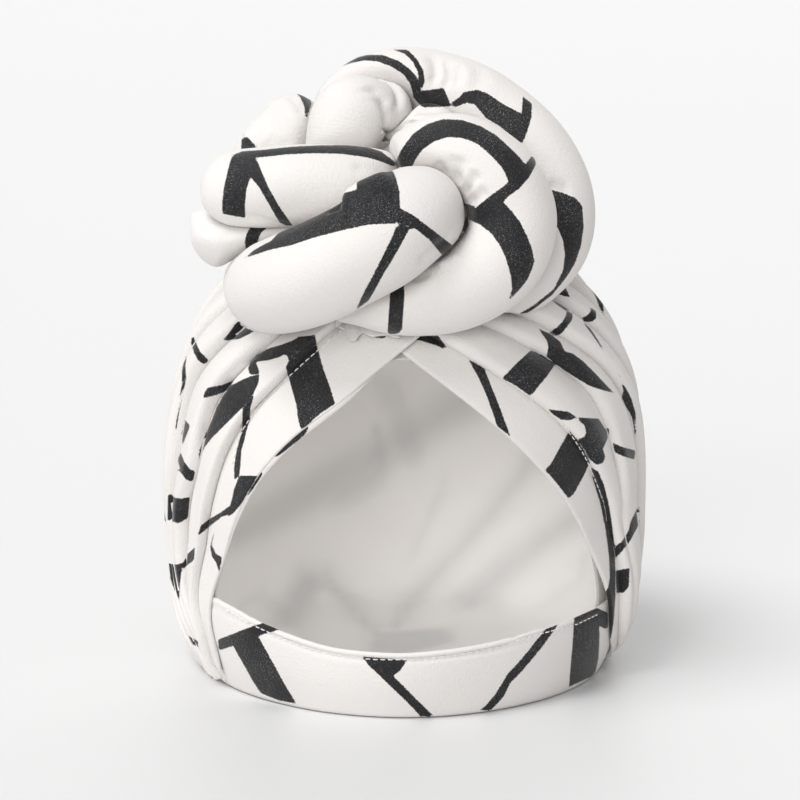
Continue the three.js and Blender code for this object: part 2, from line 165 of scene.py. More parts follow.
# %% [markdown]
# A cloth piece is a grid of points. One helper puts a grid into a mesh with its cloth
# coordinates in millimetres, and keeps them for the print. Blender's own primitives have
# no such coordinates, and a grid's rows and columns are the cloth's own length and width.

# %% Grids into meshes
made = {}


def grid_faces(rows, columns, ring=False):
    """The four corners of every cell of a grid, which may close on itself sideways."""
    i, j = np.meshgrid(np.arange(rows - 1), np.arange(columns if ring else columns - 1), indexing="ij")
    k = (j + 1) % columns
    corners = (i * columns + j, i * columns + k, (i + 1) * columns + k, (i + 1) * columns + j)
    return np.stack(corners, -1).reshape(-1, 4)


def smooth_piece(name, points, faces):
    """An object with smooth faces from points in mm, riding on the root body."""
    mesh = bpy.data.meshes.new(name)
    mesh.from_pydata((points / 1000).tolist(), [], faces)
    mesh.polygons.foreach_set("use_smooth", [True] * len(mesh.polygons))
    mesh.update()
    piece = bpy.data.objects.new(name, mesh)
    bpy.context.scene.collection.objects.link(piece)
    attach(piece, "root")
    return piece


def walled(piece, thickness, offset):
    """Gives a surface a wall of a thickness in metres: offset -1 is inwards, 0 both ways."""
    wall = piece.modifiers.new("cloth", "SOLIDIFY")
    wall.thickness, wall.offset = thickness, offset


def cloth_piece(name, points, cloth, ring=False, flip=False, extra=()):
    """points (rows, columns, 3) in mm, cloth (rows, columns, 2) in mm. Faces are quads."""
    rows, columns = points.shape[:2]
    faces = grid_faces(rows, columns, ring)
    if flip:
        faces = faces[:, ::-1]
    flat = points.reshape(-1, 3)
    faces = [tuple(f) for f in faces.tolist()] + [tuple(f) for f in extra]
    piece = smooth_piece(name, flat, faces)
    mesh = piece.data
    laid = cloth.reshape(-1, 2)
    made[name] = {"piece": piece, "points": flat, "cloth": laid, "faces": faces}
    layer = mesh.uv_layers.new(name="cloth")
    corner = np.empty(len(mesh.loops), np.int32)
    mesh.loops.foreach_get("vertex_index", corner)
    layer.data.foreach_set("uv", (laid[corner] / 100).astype(np.float32).ravel())
    # the flow of (place - middle) through the faces is above 0 when they face outwards
    middle = [0, 0.01, 0.07]
    flow = sum((np.array(f.center) - middle) @ np.array(f.normal) * f.area for f in mesh.polygons)
    print(name, len(flat), "points, faces outwards" if flow > 0 else "points, faces inwards")
    return piece


def tree_of(item):
    """The piece's faces sorted for rays, kept until its points move."""
    if "tree" not in item:
        item["tree"] = BVHTree.FromPolygons(item["points"].tolist(), item["faces"])
    return item["tree"]


def ripple(u, v, seed, waves=6, long=(20, 60)):
    """Sum of a few sines of random direction and length in mm, from -1 to 1."""
    r = np.random.default_rng(seed)
    total = np.zeros(np.broadcast(u, v).shape)
    for _ in range(waves):
        angle, length, shift = r.uniform(0, math.pi), r.uniform(*long), r.uniform(0, 2 * math.pi)
        total += np.sin(2 * math.pi * (u * math.cos(angle) + v * math.sin(angle)) / length + shift)
    return total / waves


# %% [markdown]
# The wraps hold the turban together: each is a length of jersey laid in knife pleats,
# gathered under the knot and sewn to the band's end. A simulation would not find these
# few exact folds again, so the folds are drawn: each has a rounded nose that lies over
# its neighbour towards the opening, and a back that slopes down under the next nose.

# %% The lines of the wraps
LAYER_GAP, CLOTH, BAND_CLOTH, BAND_SWELL = 1.4, 1.3, 2.2, 1.2
SEAT = front_point(np.array(0.0), np.array(172.0))
GATHER = on_dome(np.array([0, SEAT[1] + 42, WIDEST_HEIGHT]), np.array([0, 0, 1.0]))
BACK_SEAM = math.radians(152)
RIGHT_EDGE = np.array([
    (-0.11, 0.845), (0.06, 0.783), (0.26, 0.707), (0.442, 0.627), (0.591, 0.545),
    (0.71, 0.459), (0.8, 0.361), (0.87, 0.235), (0.9, 0.1), (0.87, -0.03),
])
LEFT_EDGE = np.array([
    (-0.13, 0.86), (0.1, 0.772), (0.286, 0.699), (0.48, 0.62), (0.63, 0.529),
    (0.727, 0.426), (0.79, 0.317), (0.832, 0.19), (0.795, 0.09), (0.75, -0.03),
])


def curve_at(values, at):
    """Catmull-Rom curve through values at equal steps, at shares of its length."""
    v = np.asarray(values, float)
    v = np.concatenate([2 * v[:1] - v[1:2], v, 2 * v[-1:] - v[-2:-1]])
    x = np.asarray(at, float) * (len(v) - 3)
    k = np.clip(np.floor(x).astype(int), 0, len(v) - 4)
    t = x - k
    if v.ndim > 1:
        t = t[..., None]
    a, b, c, d = v[k], v[k + 1], v[k + 2], v[k + 3]
    square, cube = 2 * a - 5 * b + 4 * c - d, 3 * b - a - 3 * c + d
    return 0.5 * (2 * b + (c - a) * t + square * t**2 + cube * t**3)


def walked(line):
    """Length along a line of points, from its first point to each of them."""
    return np.append(0, np.cumsum(np.linalg.norm(np.diff(line, axis=0), axis=1)))


def points_at(lengths, walk, values):
    """Values given at the lengths of a walk, read off between them at other lengths."""
    return np.stack([np.interp(lengths, walk, column) for column in values.T], 1)


class WrapLines:
    """Where a share of the wrap's width and a share of its length lie on the dome."""

    def __init__(self, sign, edge):
        """sign is 1 for the wrap on the right and -1 for the left, edge its visible edge."""
        x, z = sign * edge[:, 0] * HALF_WIDTH, edge[:, 1] * CAP_HEIGHT
        rim = front_point(x, z)
        foot = rim[-1]
        self.middle = (GATHER + foot) / 2
        self.axis = unit(GATHER - foot)
        self.front = unit(np.array([0, -1.0, 0]) + self.axis * self.axis[1])
        out = np.cross(self.axis, self.front)
        self.out = out * (1 if out[0] * sign > 0 else -1)
        fall, turn = self.polar(rim[:-1])
        self.falls = np.append(fall, math.radians(176))
        self.turns = np.append(turn, math.radians(40))

    def polar(self, p):
        """Angle from the line through gather and foot, and angle round it from the front."""
        d = unit(p - self.middle)
        return np.arccos(d @ self.axis), np.arctan2(d @ self.out, d @ self.front)

    def edge(self, down):
        """Both angles of the visible edge at shares of its length."""
        return curve_at(self.falls, down), curve_at(self.turns, down)

    def place(self, share, down):
        """Direction turned about the line from gather to foot, followed to the dome."""
        edge_fall, edge_turn = self.edge(down)
        seam_fall = math.radians(12) + math.radians(162) * down
        fall = edge_fall + (seam_fall - edge_fall) * share
        turn = edge_turn + (BACK_SEAM - edge_turn) * share
        d = (
            self.axis * np.cos(fall)[..., None]
            + self.front * (np.sin(fall) * np.cos(turn))[..., None]
            + self.out * (np.sin(fall) * np.sin(turn))[..., None]
        )
        return on_dome(self.middle, d)


# %% [markdown]
# Each wrap is one grid. Its columns walk across the hem, the flat strip and then one fold
# after the other, so that the whole drape is a single sheet as on the real turban. Folds
# modelled as loose tubes would be quicker to draw, but a sheet has no gaps between them
# and its print can run from fold to fold.

# %% The pleats
# Where each fold begins, as shares of the wrap's width, at seven levels down its length,
# its height in mm and how far its nose hangs over the valley before it, in mm.
RIGHT_FOLDS = [
    {"at": (0.05, 0.07, 0.105, 0.115, 0.105, 0.06, 0.05), "high": 5.9, "over": 4.5},
    {"at": (0.12, 0.2, 0.258, 0.235, 0.17, 0.14, 0.13), "high": 7.2, "over": 4.5},
    {"at": (0.22, 0.3, 0.39, 0.46, 0.44, 0.4, 0.4), "high": 9.0, "over": 4.5},
    {"at": (0.4, 0.445, 0.5, 0.57, 0.58, 0.56, 0.56), "high": 9.0, "over": 4.0},
    {"at": (0.52, 0.57, 0.62, 0.68, 0.7, 0.7, 0.7), "high": 8.4, "over": 3.5},
    {"at": (0.7, 0.73, 0.76, 0.8, 0.82, 0.82, 0.82), "high": 7.7, "over": 3.0},
]
LEFT_FOLDS = [
    {"at": (0.16, 0.17, 0.175, 0.17, 0.18, 0.17, 0.15), "high": 4.4, "over": 1.5},
    {"at": (0.25, 0.295, 0.33, 0.3, 0.38, 0.36, 0.34), "high": 7.9, "over": 3.5},
    {"at": (0.36, 0.42, 0.49, 0.48, 0.52, 0.52, 0.5), "high": 9.5, "over": 4.0},
    {"at": (0.47, 0.56, 0.62, 0.62, 0.64, 0.64, 0.63), "high": 8.4, "over": 3.5},
    {"at": (0.6, 0.68, 0.73, 0.74, 0.75, 0.75, 0.75), "high": 8.2, "over": 3.0},
    {"at": (0.78, 0.82, 0.85, 0.86, 0.87, 0.87, 0.87), "high": 7.2, "over": 2.5},
]
NOSE, BACK, STRIP, DOWN = 12, 18, 28, 224  # columns of each part, and rows
WRAP_WIDTH, WRAP_LENGTH = 150.0, 250.0
HEM, GROOVE = 1.0, 1.3


def make_wrap(name, sign, edge, folds, top_lift):
    """Rows run down the wrap. Across it come the turned hem, the flat strip, and for
    each fold a half circle of nose and a back that falls as 1 - x^2.4."""
    lines = WrapLines(sign, edge)
    down = np.linspace(0, 1, DOWN)[:, None]
    ends = smooth(down, -0.1, 0.14) * (1 - 0.75 * smooth(down, 0.82, 1.0))
    # "at" is where the nose is seen; its root lies further in, by what it hangs over
    starts = [curve_at(f["at"], down) + 0.0075 * f["over"] * ends for f in folds] + [np.ones_like(down)]
    groove = GROOVE * ends
    strip = np.linspace(0, 1, STRIP)
    share = [starts[0] * strip]
    high = [-groove * smooth(strip, 0.85, 1.0)]
    laid = [starts[0] * strip * WRAP_WIDTH]
    cloth_from = starts[0] * WRAP_WIDTH
    round_nose = np.linspace(0, math.pi, NOSE + 1)[1:]
    ease = np.linspace(0, 1, BACK + 1)[1:]
    for fold, start, stop in zip(folds, starts, starts[1:]):
        size = np.linalg.norm(lines.place(start, down) - lines.place(stop, down), axis=-1)
        tall = np.minimum(fold["high"] * ends, 0.7 * size)
        hang = np.minimum(fold["over"] * ends, 0.35 * size)
        per_mm = (stop - start) / np.maximum(size, 1e-6)
        share.append(start - hang * per_mm * np.sin(round_nose))
        high.append((tall + groove) * (1 - np.cos(round_nose)) / 2 - groove)
        share.append(start + (stop - start) * ease)
        high.append(tall * (1 - ease**2.4) - groove * smooth(ease, 0.72, 1.0))
        nose_end = cloth_from + 1.5 * tall
        laid.append(cloth_from + 1.5 * tall * round_nose / math.pi)
        laid.append(nose_end + (stop - start) * WRAP_WIDTH * ease)
        cloth_from = nose_end + (stop - start) * WRAP_WIDTH
    share, high, laid = (np.concatenate(x, 1) for x in (share, high, laid))
    down = np.broadcast_to(down, share.shape)
    on = lines.place(share, down)
    near_crossing = (1 - smooth(share, 0.2, 0.4)) * (1 - smooth(down, 0, 0.25))
    # over the band the cloth stands off by the band's thickness, and its foot tucks in
    tuck = 1 - 0.9 * smooth(down, 0.93, 0.99)
    near_band = (1 - smooth(share, 0.1, 0.4)) * smooth(down, 0.66, 0.82) * tuck
    over_band = BAND_CLOTH + BAND_SWELL + 0.35
    lift = LAYER_GAP + CLOTH + 0.5 + top_lift * near_crossing + over_band * near_band
    small = 0.8 * ripple(laid, down * 18, 3 + sign, long=(11, 26))
    small = small + 0.5 * ripple(laid, down * 60, 9 + sign, long=(14, 40))
    lift = lift + high + small * smooth(share, 0.06, 0.2)
    normal = dome_normal(on)
    points = on + normal * lift[..., None]
    points[..., 2] = np.maximum(points[..., 2], 1.2)
    # the hem turns under along the visible edge, as a half circle
    across = unit(points[:, 1] - points[:, 0])
    under = [
        points[:, 0] + HEM * (normal[:, 0] * (math.cos(a) - 1) + across * math.sin(a))
        for a in np.linspace(0, -math.pi, 6)[1:]
    ]
    under += [under[-1] + across * reach for reach in (2.0, 5.0, 9.0)]
    under = np.stack(under[::-1], 1)
    points = np.concatenate([under, points], 1)
    before = np.stack([np.full(DOWN, -x) for x in np.linspace(12, 0.4, under.shape[1])], 1)
    laid = np.concatenate([before, laid], 1)
    cloth = np.stack([laid, np.broadcast_to(down[:, :1] * WRAP_LENGTH, laid.shape)], -1)
    return cloth_piece(name, points, cloth, flip=sign > 0)


wrap_right = make_wrap("wrap_right_jersey", 1, RIGHT_EDGE, RIGHT_FOLDS, 0.0)
wrap_left = make_wrap("wrap_left_jersey", -1, LEFT_EDGE, LEFT_FOLDS, CLOTH + LAYER_GAP + 0.8)
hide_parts("wrap_right")
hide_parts("wrap_left")

# %% [markdown]
# The cap is a bag of one layer. Its inside, the plain wrong side of the jersey, is what
# the opening shows, so its grid runs from the rim of the opening to a point at the back.
# A cut through the dome would be quicker, but leaves no rows for the print's shadows.
# A smooth minimum with the table plane gives it the soft flat bottom of a bag that stands.

# %% The cap
BAND_HEIGHT = 29.3  # mm at the front
BAND_TOP = np.array([
    (-68, 1.47), (-50, 1.365), (-34, 1.184), (-18, 1.024), (0, 1.0),
    (20, 1.072), (36, 1.174), (58, 1.212), (78, 1.263),
])


def band_top(turn):
    """The band's height in mm at angles in degrees round from the front."""
    return BAND_HEIGHT * np.interp(turn, BAND_TOP[:, 0], BAND_TOP[:, 1])


def round_point(turn, z):
    """The dome's point at an angle in degrees round it from the front, at a height."""
    a = np.radians(turn)
    origin = np.stack(np.broadcast_arrays(0.0, axis_at(z), z), -1)
    d = np.stack(np.broadcast_arrays(np.sin(a), -np.cos(a), 0.0 * z), -1)
    origin, d = np.broadcast_arrays(origin, d)
    return on_dome(origin, d)


def bag_level(p):
    """The dome cut off softly by the table: log-sum-exp of both levels, 12 mm round."""
    table = -(p[..., 2] - 0.8) / 60
    k = 14.0
    return np.log(np.exp(k * dome_level(p) * 0.5) + np.exp(k * table)) / k


def cap_rim(count=220):
    """A closed loop set back 3 mm from the edges of wraps and band, seen from the front,
    and up to 9 mm where the wraps cross."""
    foot = np.array([60, 30, 0, -30, -60.0])
    low = round_point(foot, band_top(foot) - 4)
    right, left = (
        edge[(edge[:, 0] >= 0) & (edge[:, 1] * CAP_HEIGHT > 50)] * [side * HALF_WIDTH, CAP_HEIGHT]
        for edge, side in ((RIGHT_EDGE, 1), (LEFT_EDGE, -1))
    )
    loop = np.concatenate([right, low[:, [0, 2]], left[::-1]])
    middle = np.array([0, 0.45 * CAP_HEIGHT])
    back_by = 3.0 + 6.0 * smooth(loop[:, 1:] / CAP_HEIGHT, 0.78, 0.97)
    loop = loop + unit(loop - middle) * back_by
    closed = np.concatenate([loop, loop[:1]])
    fine = curve_at(closed, np.linspace(0, 1, 2001))
    walk = walked(fine)
    return points_at(np.linspace(0, walk[-1], count, endpoint=False), walk, fine)


def make_cap():
    """Directions swing from the rim's points to the back pole, seen from the hollow."""
    rim = cap_rim()
    start = front_point(rim[:, 0], rim[:, 1])
    middle = np.array([0, 8.0, 62.0])
    first = unit(start - middle)
    pole = unit(np.array([0, 1.0, 0.12]))
    reach = np.arccos(first @ pole)
    side = unit(first - pole * (first @ pole)[:, None])
    share = np.linspace(0, 1, 110)[:, None]
    angle = reach[None] * (1 - share) + 1e-3 * share
    d = pole * np.cos(angle)[..., None] + side[None] * np.sin(angle)[..., None]
    on = on_dome(middle, d, bag_level)
    normal = unit(slope(on, bag_level))
    wave = ripple(on[..., 0], on[..., 2], 11, long=(40, 110)) * smooth(share, 0.0, 0.25)
    points = on + normal * (1.0 * wave - 0.9)[..., None]
    points[..., 2] = np.maximum(points[..., 2], 0.25)
    # laid flat round the pole, so that the print has no seam there
    upward = np.cross(np.array([1.0, 0, 0]), pole)
    cloth = 95 * angle[..., None] * np.stack([side[:, 0], side @ upward], -1)[None]
    lining = cloth_piece("cap_lining", points, cloth, ring=True, flip=True)
    shell = points + normal * 1.3
    shell[..., 2] = np.maximum(shell[..., 2], 0.2)
    shell = cloth_piece("cap_shell", shell, cloth, ring=True)
    return lining, shell


cap, cap_shell = make_cap()
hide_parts("cap")

# %% [markdown]
# The band is a doubled strip that stands on the table. Its section is a closed loop:
# up the outside, over a soft rolled edge, down the inside. A strip bent over by a modifier
# would need its edge shaped by hand, and the loop gives it with the sunk row of stitches.

# %% The band
OUTER_ROWS = 26
MM_A_DEGREE = 1.62  # length of the band for each degree round the dome


def make_band(columns=340):
    """A closed section of (out, up) carried round the dome, its height set by band_top."""
    turn = np.linspace(BAND_TOP[0, 0], BAND_TOP[-1, 0], columns)
    even = np.hanning(41) / np.hanning(41).sum()
    top = np.convolve(np.pad(band_top(turn), 20, mode="edge"), even, "valid")
    up_out = np.linspace(0.02, 0.93, OUTER_ROWS)
    swell = BAND_SWELL * np.sin(np.pi * up_out)
    groove = 0.55 * np.exp(-(((up_out - 0.905) / 0.02) ** 2))
    outer = np.stack([LAYER_GAP + BAND_CLOTH + swell - groove, up_out], 1)
    a = np.linspace(-0.5, math.pi + 0.2, 12)
    roll = np.stack([LAYER_GAP + 1.25 + 1.25 * np.cos(a), 0.955 + 0.042 * np.sin(a)], 1)
    inner = np.stack([np.full(8, LAYER_GAP), np.linspace(0.9, 0.02, 8)], 1)
    section = np.concatenate([outer, roll, inner])
    z = section[:, 1][None] * top[:, None]
    p = round_point(turn[:, None] + 0 * z, z)
    normal = dome_normal(p)
    normal[..., 2] = 0
    lump = 0.25 * ripple(turn[:, None] * 1.6 + 0 * z, z, 21, long=(18, 60))
    points = p + unit(normal) * (section[:, 0][None] + lump)[..., None]
    points[..., 2] = np.maximum(points[..., 2], 0.25)
    along = turn[:, None] * MM_A_DEGREE + 0 * z
    outside = np.arange(len(section)) < OUTER_ROWS
    up = np.where(outside, section[:, 1], 2 - section[:, 1]) * top[:, None]
    cloth = np.stack([along, up], -1)
    return cloth_piece("nape_band_jersey", points, cloth, ring=True, flip=True)


band = make_band()
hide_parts("nape_band")

# %% [markdown]
# The knot is a tube of jersey stuffed with soft fibre and tied. Each roll is a round
# section carried along a curve; where two rolls press on each other both give way, and
# the one on top gives way less. Soft bodies would settle into some such shape, but not
# into the one in the photograph, so the lines are given and only the contact is found.

# %% The knot's rolls
ROLL = 39.0  # thickness of a roll
# x, y, z of each point from the knot's seat, and the roll's thickness there, all in rolls
ROLLS = {
    "roll_front": [
        (-1.18, 0.2, 0.36, 0.9), (-1.42, -0.5, 0.12, 1.0), (-0.98, -1.1, 0.3, 1.06),
        (-0.31, -1.32, 0.66, 1.06), (0.1, -1.02, 0.92, 1.0), (0.2, -0.42, 0.95, 0.85),
        (0.34, 0.1, 0.96, 0.76),
    ],
    "roll_left": [
        (0.05, 0.0, 1.04, 0.82), (-0.5, -0.46, 1.16, 0.86), (-1.15, -0.54, 1.17, 0.88),
        (-1.74, -0.34, 1.1, 0.9),
    ],
    "roll_right": [
        (-0.25, 0.3, 0.98, 0.85), (0.12, -0.25, 1.3, 0.92), (0.52, -0.55, 1.46, 0.96),
        (0.92, -0.68, 1.24, 0.98), (1.1, -0.72, 0.85, 1.0), (0.98, -0.8, 0.46, 1.0),
        (0.58, -0.86, 0.2, 0.98), (0.02, -0.82, 0.1, 0.94), (-0.55, -0.56, 0.12, 0.85),
    ],
    "roll_left_under": [
        (-1.83, -0.22, 0.72, 0.98), (-1.4, -0.26, 0.6, 0.98), (-0.8, -0.2, 0.55, 0.9),
    ],
    "roll_upper_left": [
        (-0.62, 0.24, 1.1, 0.85), (-0.62, 0.12, 1.5, 0.88), (-0.56, 0.16, 1.86, 0.86),
        (-0.24, 0.42, 1.92, 0.7),
    ],
    "roll_outer": [
        (-0.72, 0.75, 1.6, 0.85), (-0.5, 0.72, 1.95, 0.9), (-0.12, 0.72, 2.12, 0.92),
        (0.36, 0.72, 2.08, 0.92), (0.85, 0.64, 1.86, 0.96), (1.32, 0.46, 1.45, 1.0),
        (1.55, 0.3, 0.98, 1.0), (1.5, 0.12, 0.52, 1.0), (1.12, -0.1, 0.16, 0.96),
        (0.62, -0.2, 0.06, 0.85),
    ],
    "roll_far_left": [
        (-1.36, 0.6, 0.95, 0.94), (-1.4, 0.54, 1.3, 0.99), (-1.16, 0.74, 1.62, 0.95),
    ],
    "roll_heart": [
        (-0.12, 0.26, 1.7, 0.5), (0.35, 0.28, 1.74, 0.62), (0.66, 0.5, 1.5, 0.75),
        (0.5, 0.85, 1.2, 0.85),
    ],
    "roll_back": [
        (-1.35, 0.9, 0.6, 0.95), (-0.85, 1.4, 0.88, 1.1), (0.0, 1.56, 1.05, 1.2),
        (0.85, 1.4, 0.88, 1.1), (1.4, 0.88, 0.6, 0.95),
    ],
}


def centre_line(rows, step=1.1):
    """Points a step apart on the curve through the rows, with rounded ends added."""
    rows = np.array(rows, float)
    t = np.linspace(0, 1, 1500)
    p = SEAT + ROLL * curve_at(rows[:, :3], t)
    k = np.clip(np.floor(t * (len(rows) - 1)).astype(int), 0, len(rows) - 2)
    r = rows[k, 3] + (rows[k + 1, 3] - rows[k, 3]) * smooth(t * (len(rows) - 1) - k, 0, 1)
    r = r * ROLL / 2
    for end, sign in ((0, -1), (-1, 1)):
        out = unit(p[end] - p[end - sign * 3])
        reach = np.linspace(0, 0.97 * r[end], 40)[1:, None]
        tip = p[end] + reach * out
        if end == 0:
            p, r = np.concatenate([tip[::-1], p]), np.concatenate([np.full(39, r[0]), r])
        else:
            p, r = np.concatenate([p, tip]), np.concatenate([r, np.full(39, r[-1])])
    walk = walked(p)
    at = np.linspace(0, walk[-1], int(walk[-1] / step) + 2)
    p, r = points_at(at, walk, p), np.interp(at, walk, r)
    left, right = np.clip(at / r[0], 0, 1), np.clip((at[-1] - at) / r[-1], 0, 1)
    taper = np.sqrt(np.clip(1 - (1 - left) ** 2, 0, 1)) * np.sqrt(np.clip(1 - (1 - right) ** 2, 0, 1))
    return p, r * np.maximum(taper, 0.02), at, r


LINES = {name: centre_line(rows) for name, rows in ROLLS.items()}


def roll_depth(p, name):
    """Distance from points to a roll's surface, below 0 inside it."""
    line, radius = LINES[name][0][::3], LINES[name][1][::3]
    best = np.full(p.shape[:-1], 1e9)
    for c, r in zip(line, radius):
        best = np.minimum(best, np.linalg.norm(p - c, axis=-1) - r)
    return best


def dome_depth(p):
    """Distance to the pleated wraps over the dome, to first order."""
    g = np.linalg.norm(slope(p, dome_level, 0.05), axis=-1)
    return dome_level(p) / np.maximum(g, 1e-6) - 8.5


def make_roll(name, index, around=104):
    """Radius along each spoke of the section, shortened where another roll presses."""
    line, radius, at, full = LINES[name]
    tangent = unit(np.gradient(line, axis=0))
    up = np.array([0.05, -1, 0.2])
    up = unit(up - tangent * (tangent @ up)[:, None])
    aside = np.cross(tangent, up)
    a = np.linspace(-math.pi, math.pi, around, endpoint=False)
    spoke = up[:, None] * np.cos(a)[None, :, None] + aside[:, None] * np.sin(a)[None, :, None]
    rows, columns = np.arange(0, len(line), 2), np.arange(0, around, 2)
    limit = np.ones((len(rows), len(columns)))
    found = np.zeros_like(limit, bool)
    order = list(ROLLS)
    near = [o for o in order if o != name and roll_depth(line[::6], o).min() < ROLL]
    for k in np.linspace(0.06, 1.0, 34):
        reach = radius[rows, None] * k
        p = line[rows, None] + spoke[rows][:, columns] * reach[..., None]
        over = dome_depth(p) < 0.3
        own = reach - radius[rows, None]
        for other in near:
            bias = 5.0 if order.index(other) < index else -5.0
            over |= own - roll_depth(p, other) + bias + 0.3 > 0
        fresh = over & ~found
        limit[fresh] = k
        found |= over
    full_rows = np.interp(np.arange(len(line)), rows, np.arange(len(rows)))
    low = np.floor(full_rows).astype(int)
    high, part = np.minimum(low + 1, len(rows) - 1), (full_rows - low)[:, None]
    limit = limit[low] * (1 - part) + limit[high] * part
    limit = np.stack([limit, (limit + np.roll(limit, -1, 1)) / 2], -1).reshape(len(line), around)
    for _ in range(3):
        pad = np.concatenate([limit[:, -2:], limit, limit[:, :2]], 1)
        limit = (pad[:, :-4] + 2 * pad[:, 1:-3] + 3 * pad[:, 2:-2] + 2 * pad[:, 3:-1] + pad[:, 4:]) / 9
        pad = np.concatenate([limit[:1], limit, limit[-1:]])
        limit = (pad[:-2] + 2 * pad[1:-1] + pad[2:]) / 4
    u, v = at[:, None] + 0 * a, a[None] * full[:, None]
    soft = 0.5 * ripple(u, 40 * np.cos(a)[None] + 0 * u, 40 + index, long=(25, 70))
    size = radius[:, None] * limit + soft * np.minimum(1, radius / full)[:, None]
    points = line[:, None] + spoke * size[..., None]
    last = (len(line) - 1) * around
    caps = [tuple(range(around))[::-1], tuple(range(last, last + around))]
    piece = cloth_piece(name + "_jersey", points, np.stack([u, v], -1), ring=True, extra=caps)
    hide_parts(name)
    return piece


rolls = {name: make_roll(name, i) for i, name in enumerate(ROLLS)}

# %% [markdown]
# The left wrap is faced: a narrow strip of the same jersey is sewn behind its edge and
# shows a few millimetres beyond it. It follows the same lines as the wrap, with negative
# shares of the width, so it can't part from the edge.

# %% The facing behind the left edge
PEEK = np.array([0.0, 0.0, 2.0, 3.2, 3.4, 3.0, 2.2, 1.2, 0.0, 0.0, 0.0])  # mm, top to foot
FACING_HIDDEN, FACING_COLUMNS = 14, 9


def make_facing(rows=120, columns=FACING_COLUMNS):
    """A strip from 14 mm under the wrap to PEEK mm beyond its edge. A negative share of the
    wrap's width lies beyond the edge."""
    lines = WrapLines(-1, LEFT_EDGE)
    down = np.linspace(0.12, 0.86, rows)[:, None]
    beyond = curve_at(PEEK, down)
    reach = FACING_HIDDEN - (FACING_HIDDEN + beyond) * np.linspace(0, 1, columns)
    share = reach / WRAP_WIDTH
    down = np.broadcast_to(down, share.shape)
    on = lines.place(share, down)
    lift = LAYER_GAP + 0.9 - 0.5 * smooth(np.linspace(0, 1, columns), 0.7, 1.0) * (beyond > 0.3)
    points = on + dome_normal(on) * lift[..., None]
    cloth = np.stack([share * WRAP_WIDTH, down * WRAP_LENGTH], -1)
    return cloth_piece("facing_left_jersey", points, cloth, flip=True)


facing = make_facing()
walled(facing, 0.0007, 0.0)

# %% [markdown]
# Where the knot sits on the crossing, a scrap of the tube's cloth hangs out under it in
# small leaves. A grid of rays from the eye gives it, stopped just in front of the wraps
# and cut along its lower edge to the leaves' tips. Laid by rays it shows where it does in
# the photograph, and the roll above hides where it comes from.

# %% The gather under the knot
GATHER_COLUMNS = 70
LEAF_LEFT, LEAF_TOP, LEAF_SPAN = 336, 316, 62  # pixels of the view
LEAF_TIPS = np.array([
    (0, 326), (0.1, 330), (0.2, 341), (0.3, 340), (0.48, 332.5),
    (0.62, 336.5), (0.8, 335), (0.91, 337.5), (1.0, 338),
])


def make_gather(rows=22, columns=GATHER_COLUMNS):
    """Rays through a grid of pixels, each stopped 1.2 mm and a wave in front of the wraps."""
    across = np.linspace(0, 1, columns)[None]
    down = np.linspace(0, 1, rows)[:, None]
    tips = np.interp(across, LEAF_TIPS[:, 0], LEAF_TIPS[:, 1])
    px = LEAF_LEFT + LEAF_SPAN * across + 3 * np.sin(9 * across) * down
    py = LEAF_TOP + (tips - LEAF_TOP) * down
    wave = np.sin(across * 2 * math.pi * 3.2 + 1.0 + 1.2 * down)
    rays = np.array([view_ray(x, y) for x, y in zip(px.ravel(), py.ravel())]).reshape(px.shape + (3,))
    reach = np.full(px.shape, 1e6)
    for name in ("wrap_left_jersey", "wrap_right_jersey"):
        tree = tree_of(made[name])
        met = [tree.ray_cast(Vector(EYE), Vector(ray))[3] or 1e6 for ray in rays.reshape(-1, 3)]
        reach = np.minimum(reach, np.reshape(met, px.shape))
    reach = reach - 1.2 - 0.9 * (1 + wave) * down
    print("gather lies", round(float(reach.min())), "to", round(float(reach.max())), "mm from the eye")
    points = EYE + rays * reach[..., None]
    cloth = np.stack(np.broadcast_arrays(across * 30, down * 14), -1)
    return cloth_piece("knot_gather_jersey", points, cloth, flip=True)


gather = make_gather()
walled(gather, 0.0009, 0.0)

# %% [markdown]
# The print is off-white with angular black bars. It is charted as outlines in pixels of
# the view, each for one piece. An outline is laid on its piece by rays from the camera,
# and from there on it lives in the cloth's own coordinates, so the pattern bends with
# the cloth and stays when the object turns. An image texture would do the same, but a
# chart of outlines has no pixels and stays sharp.

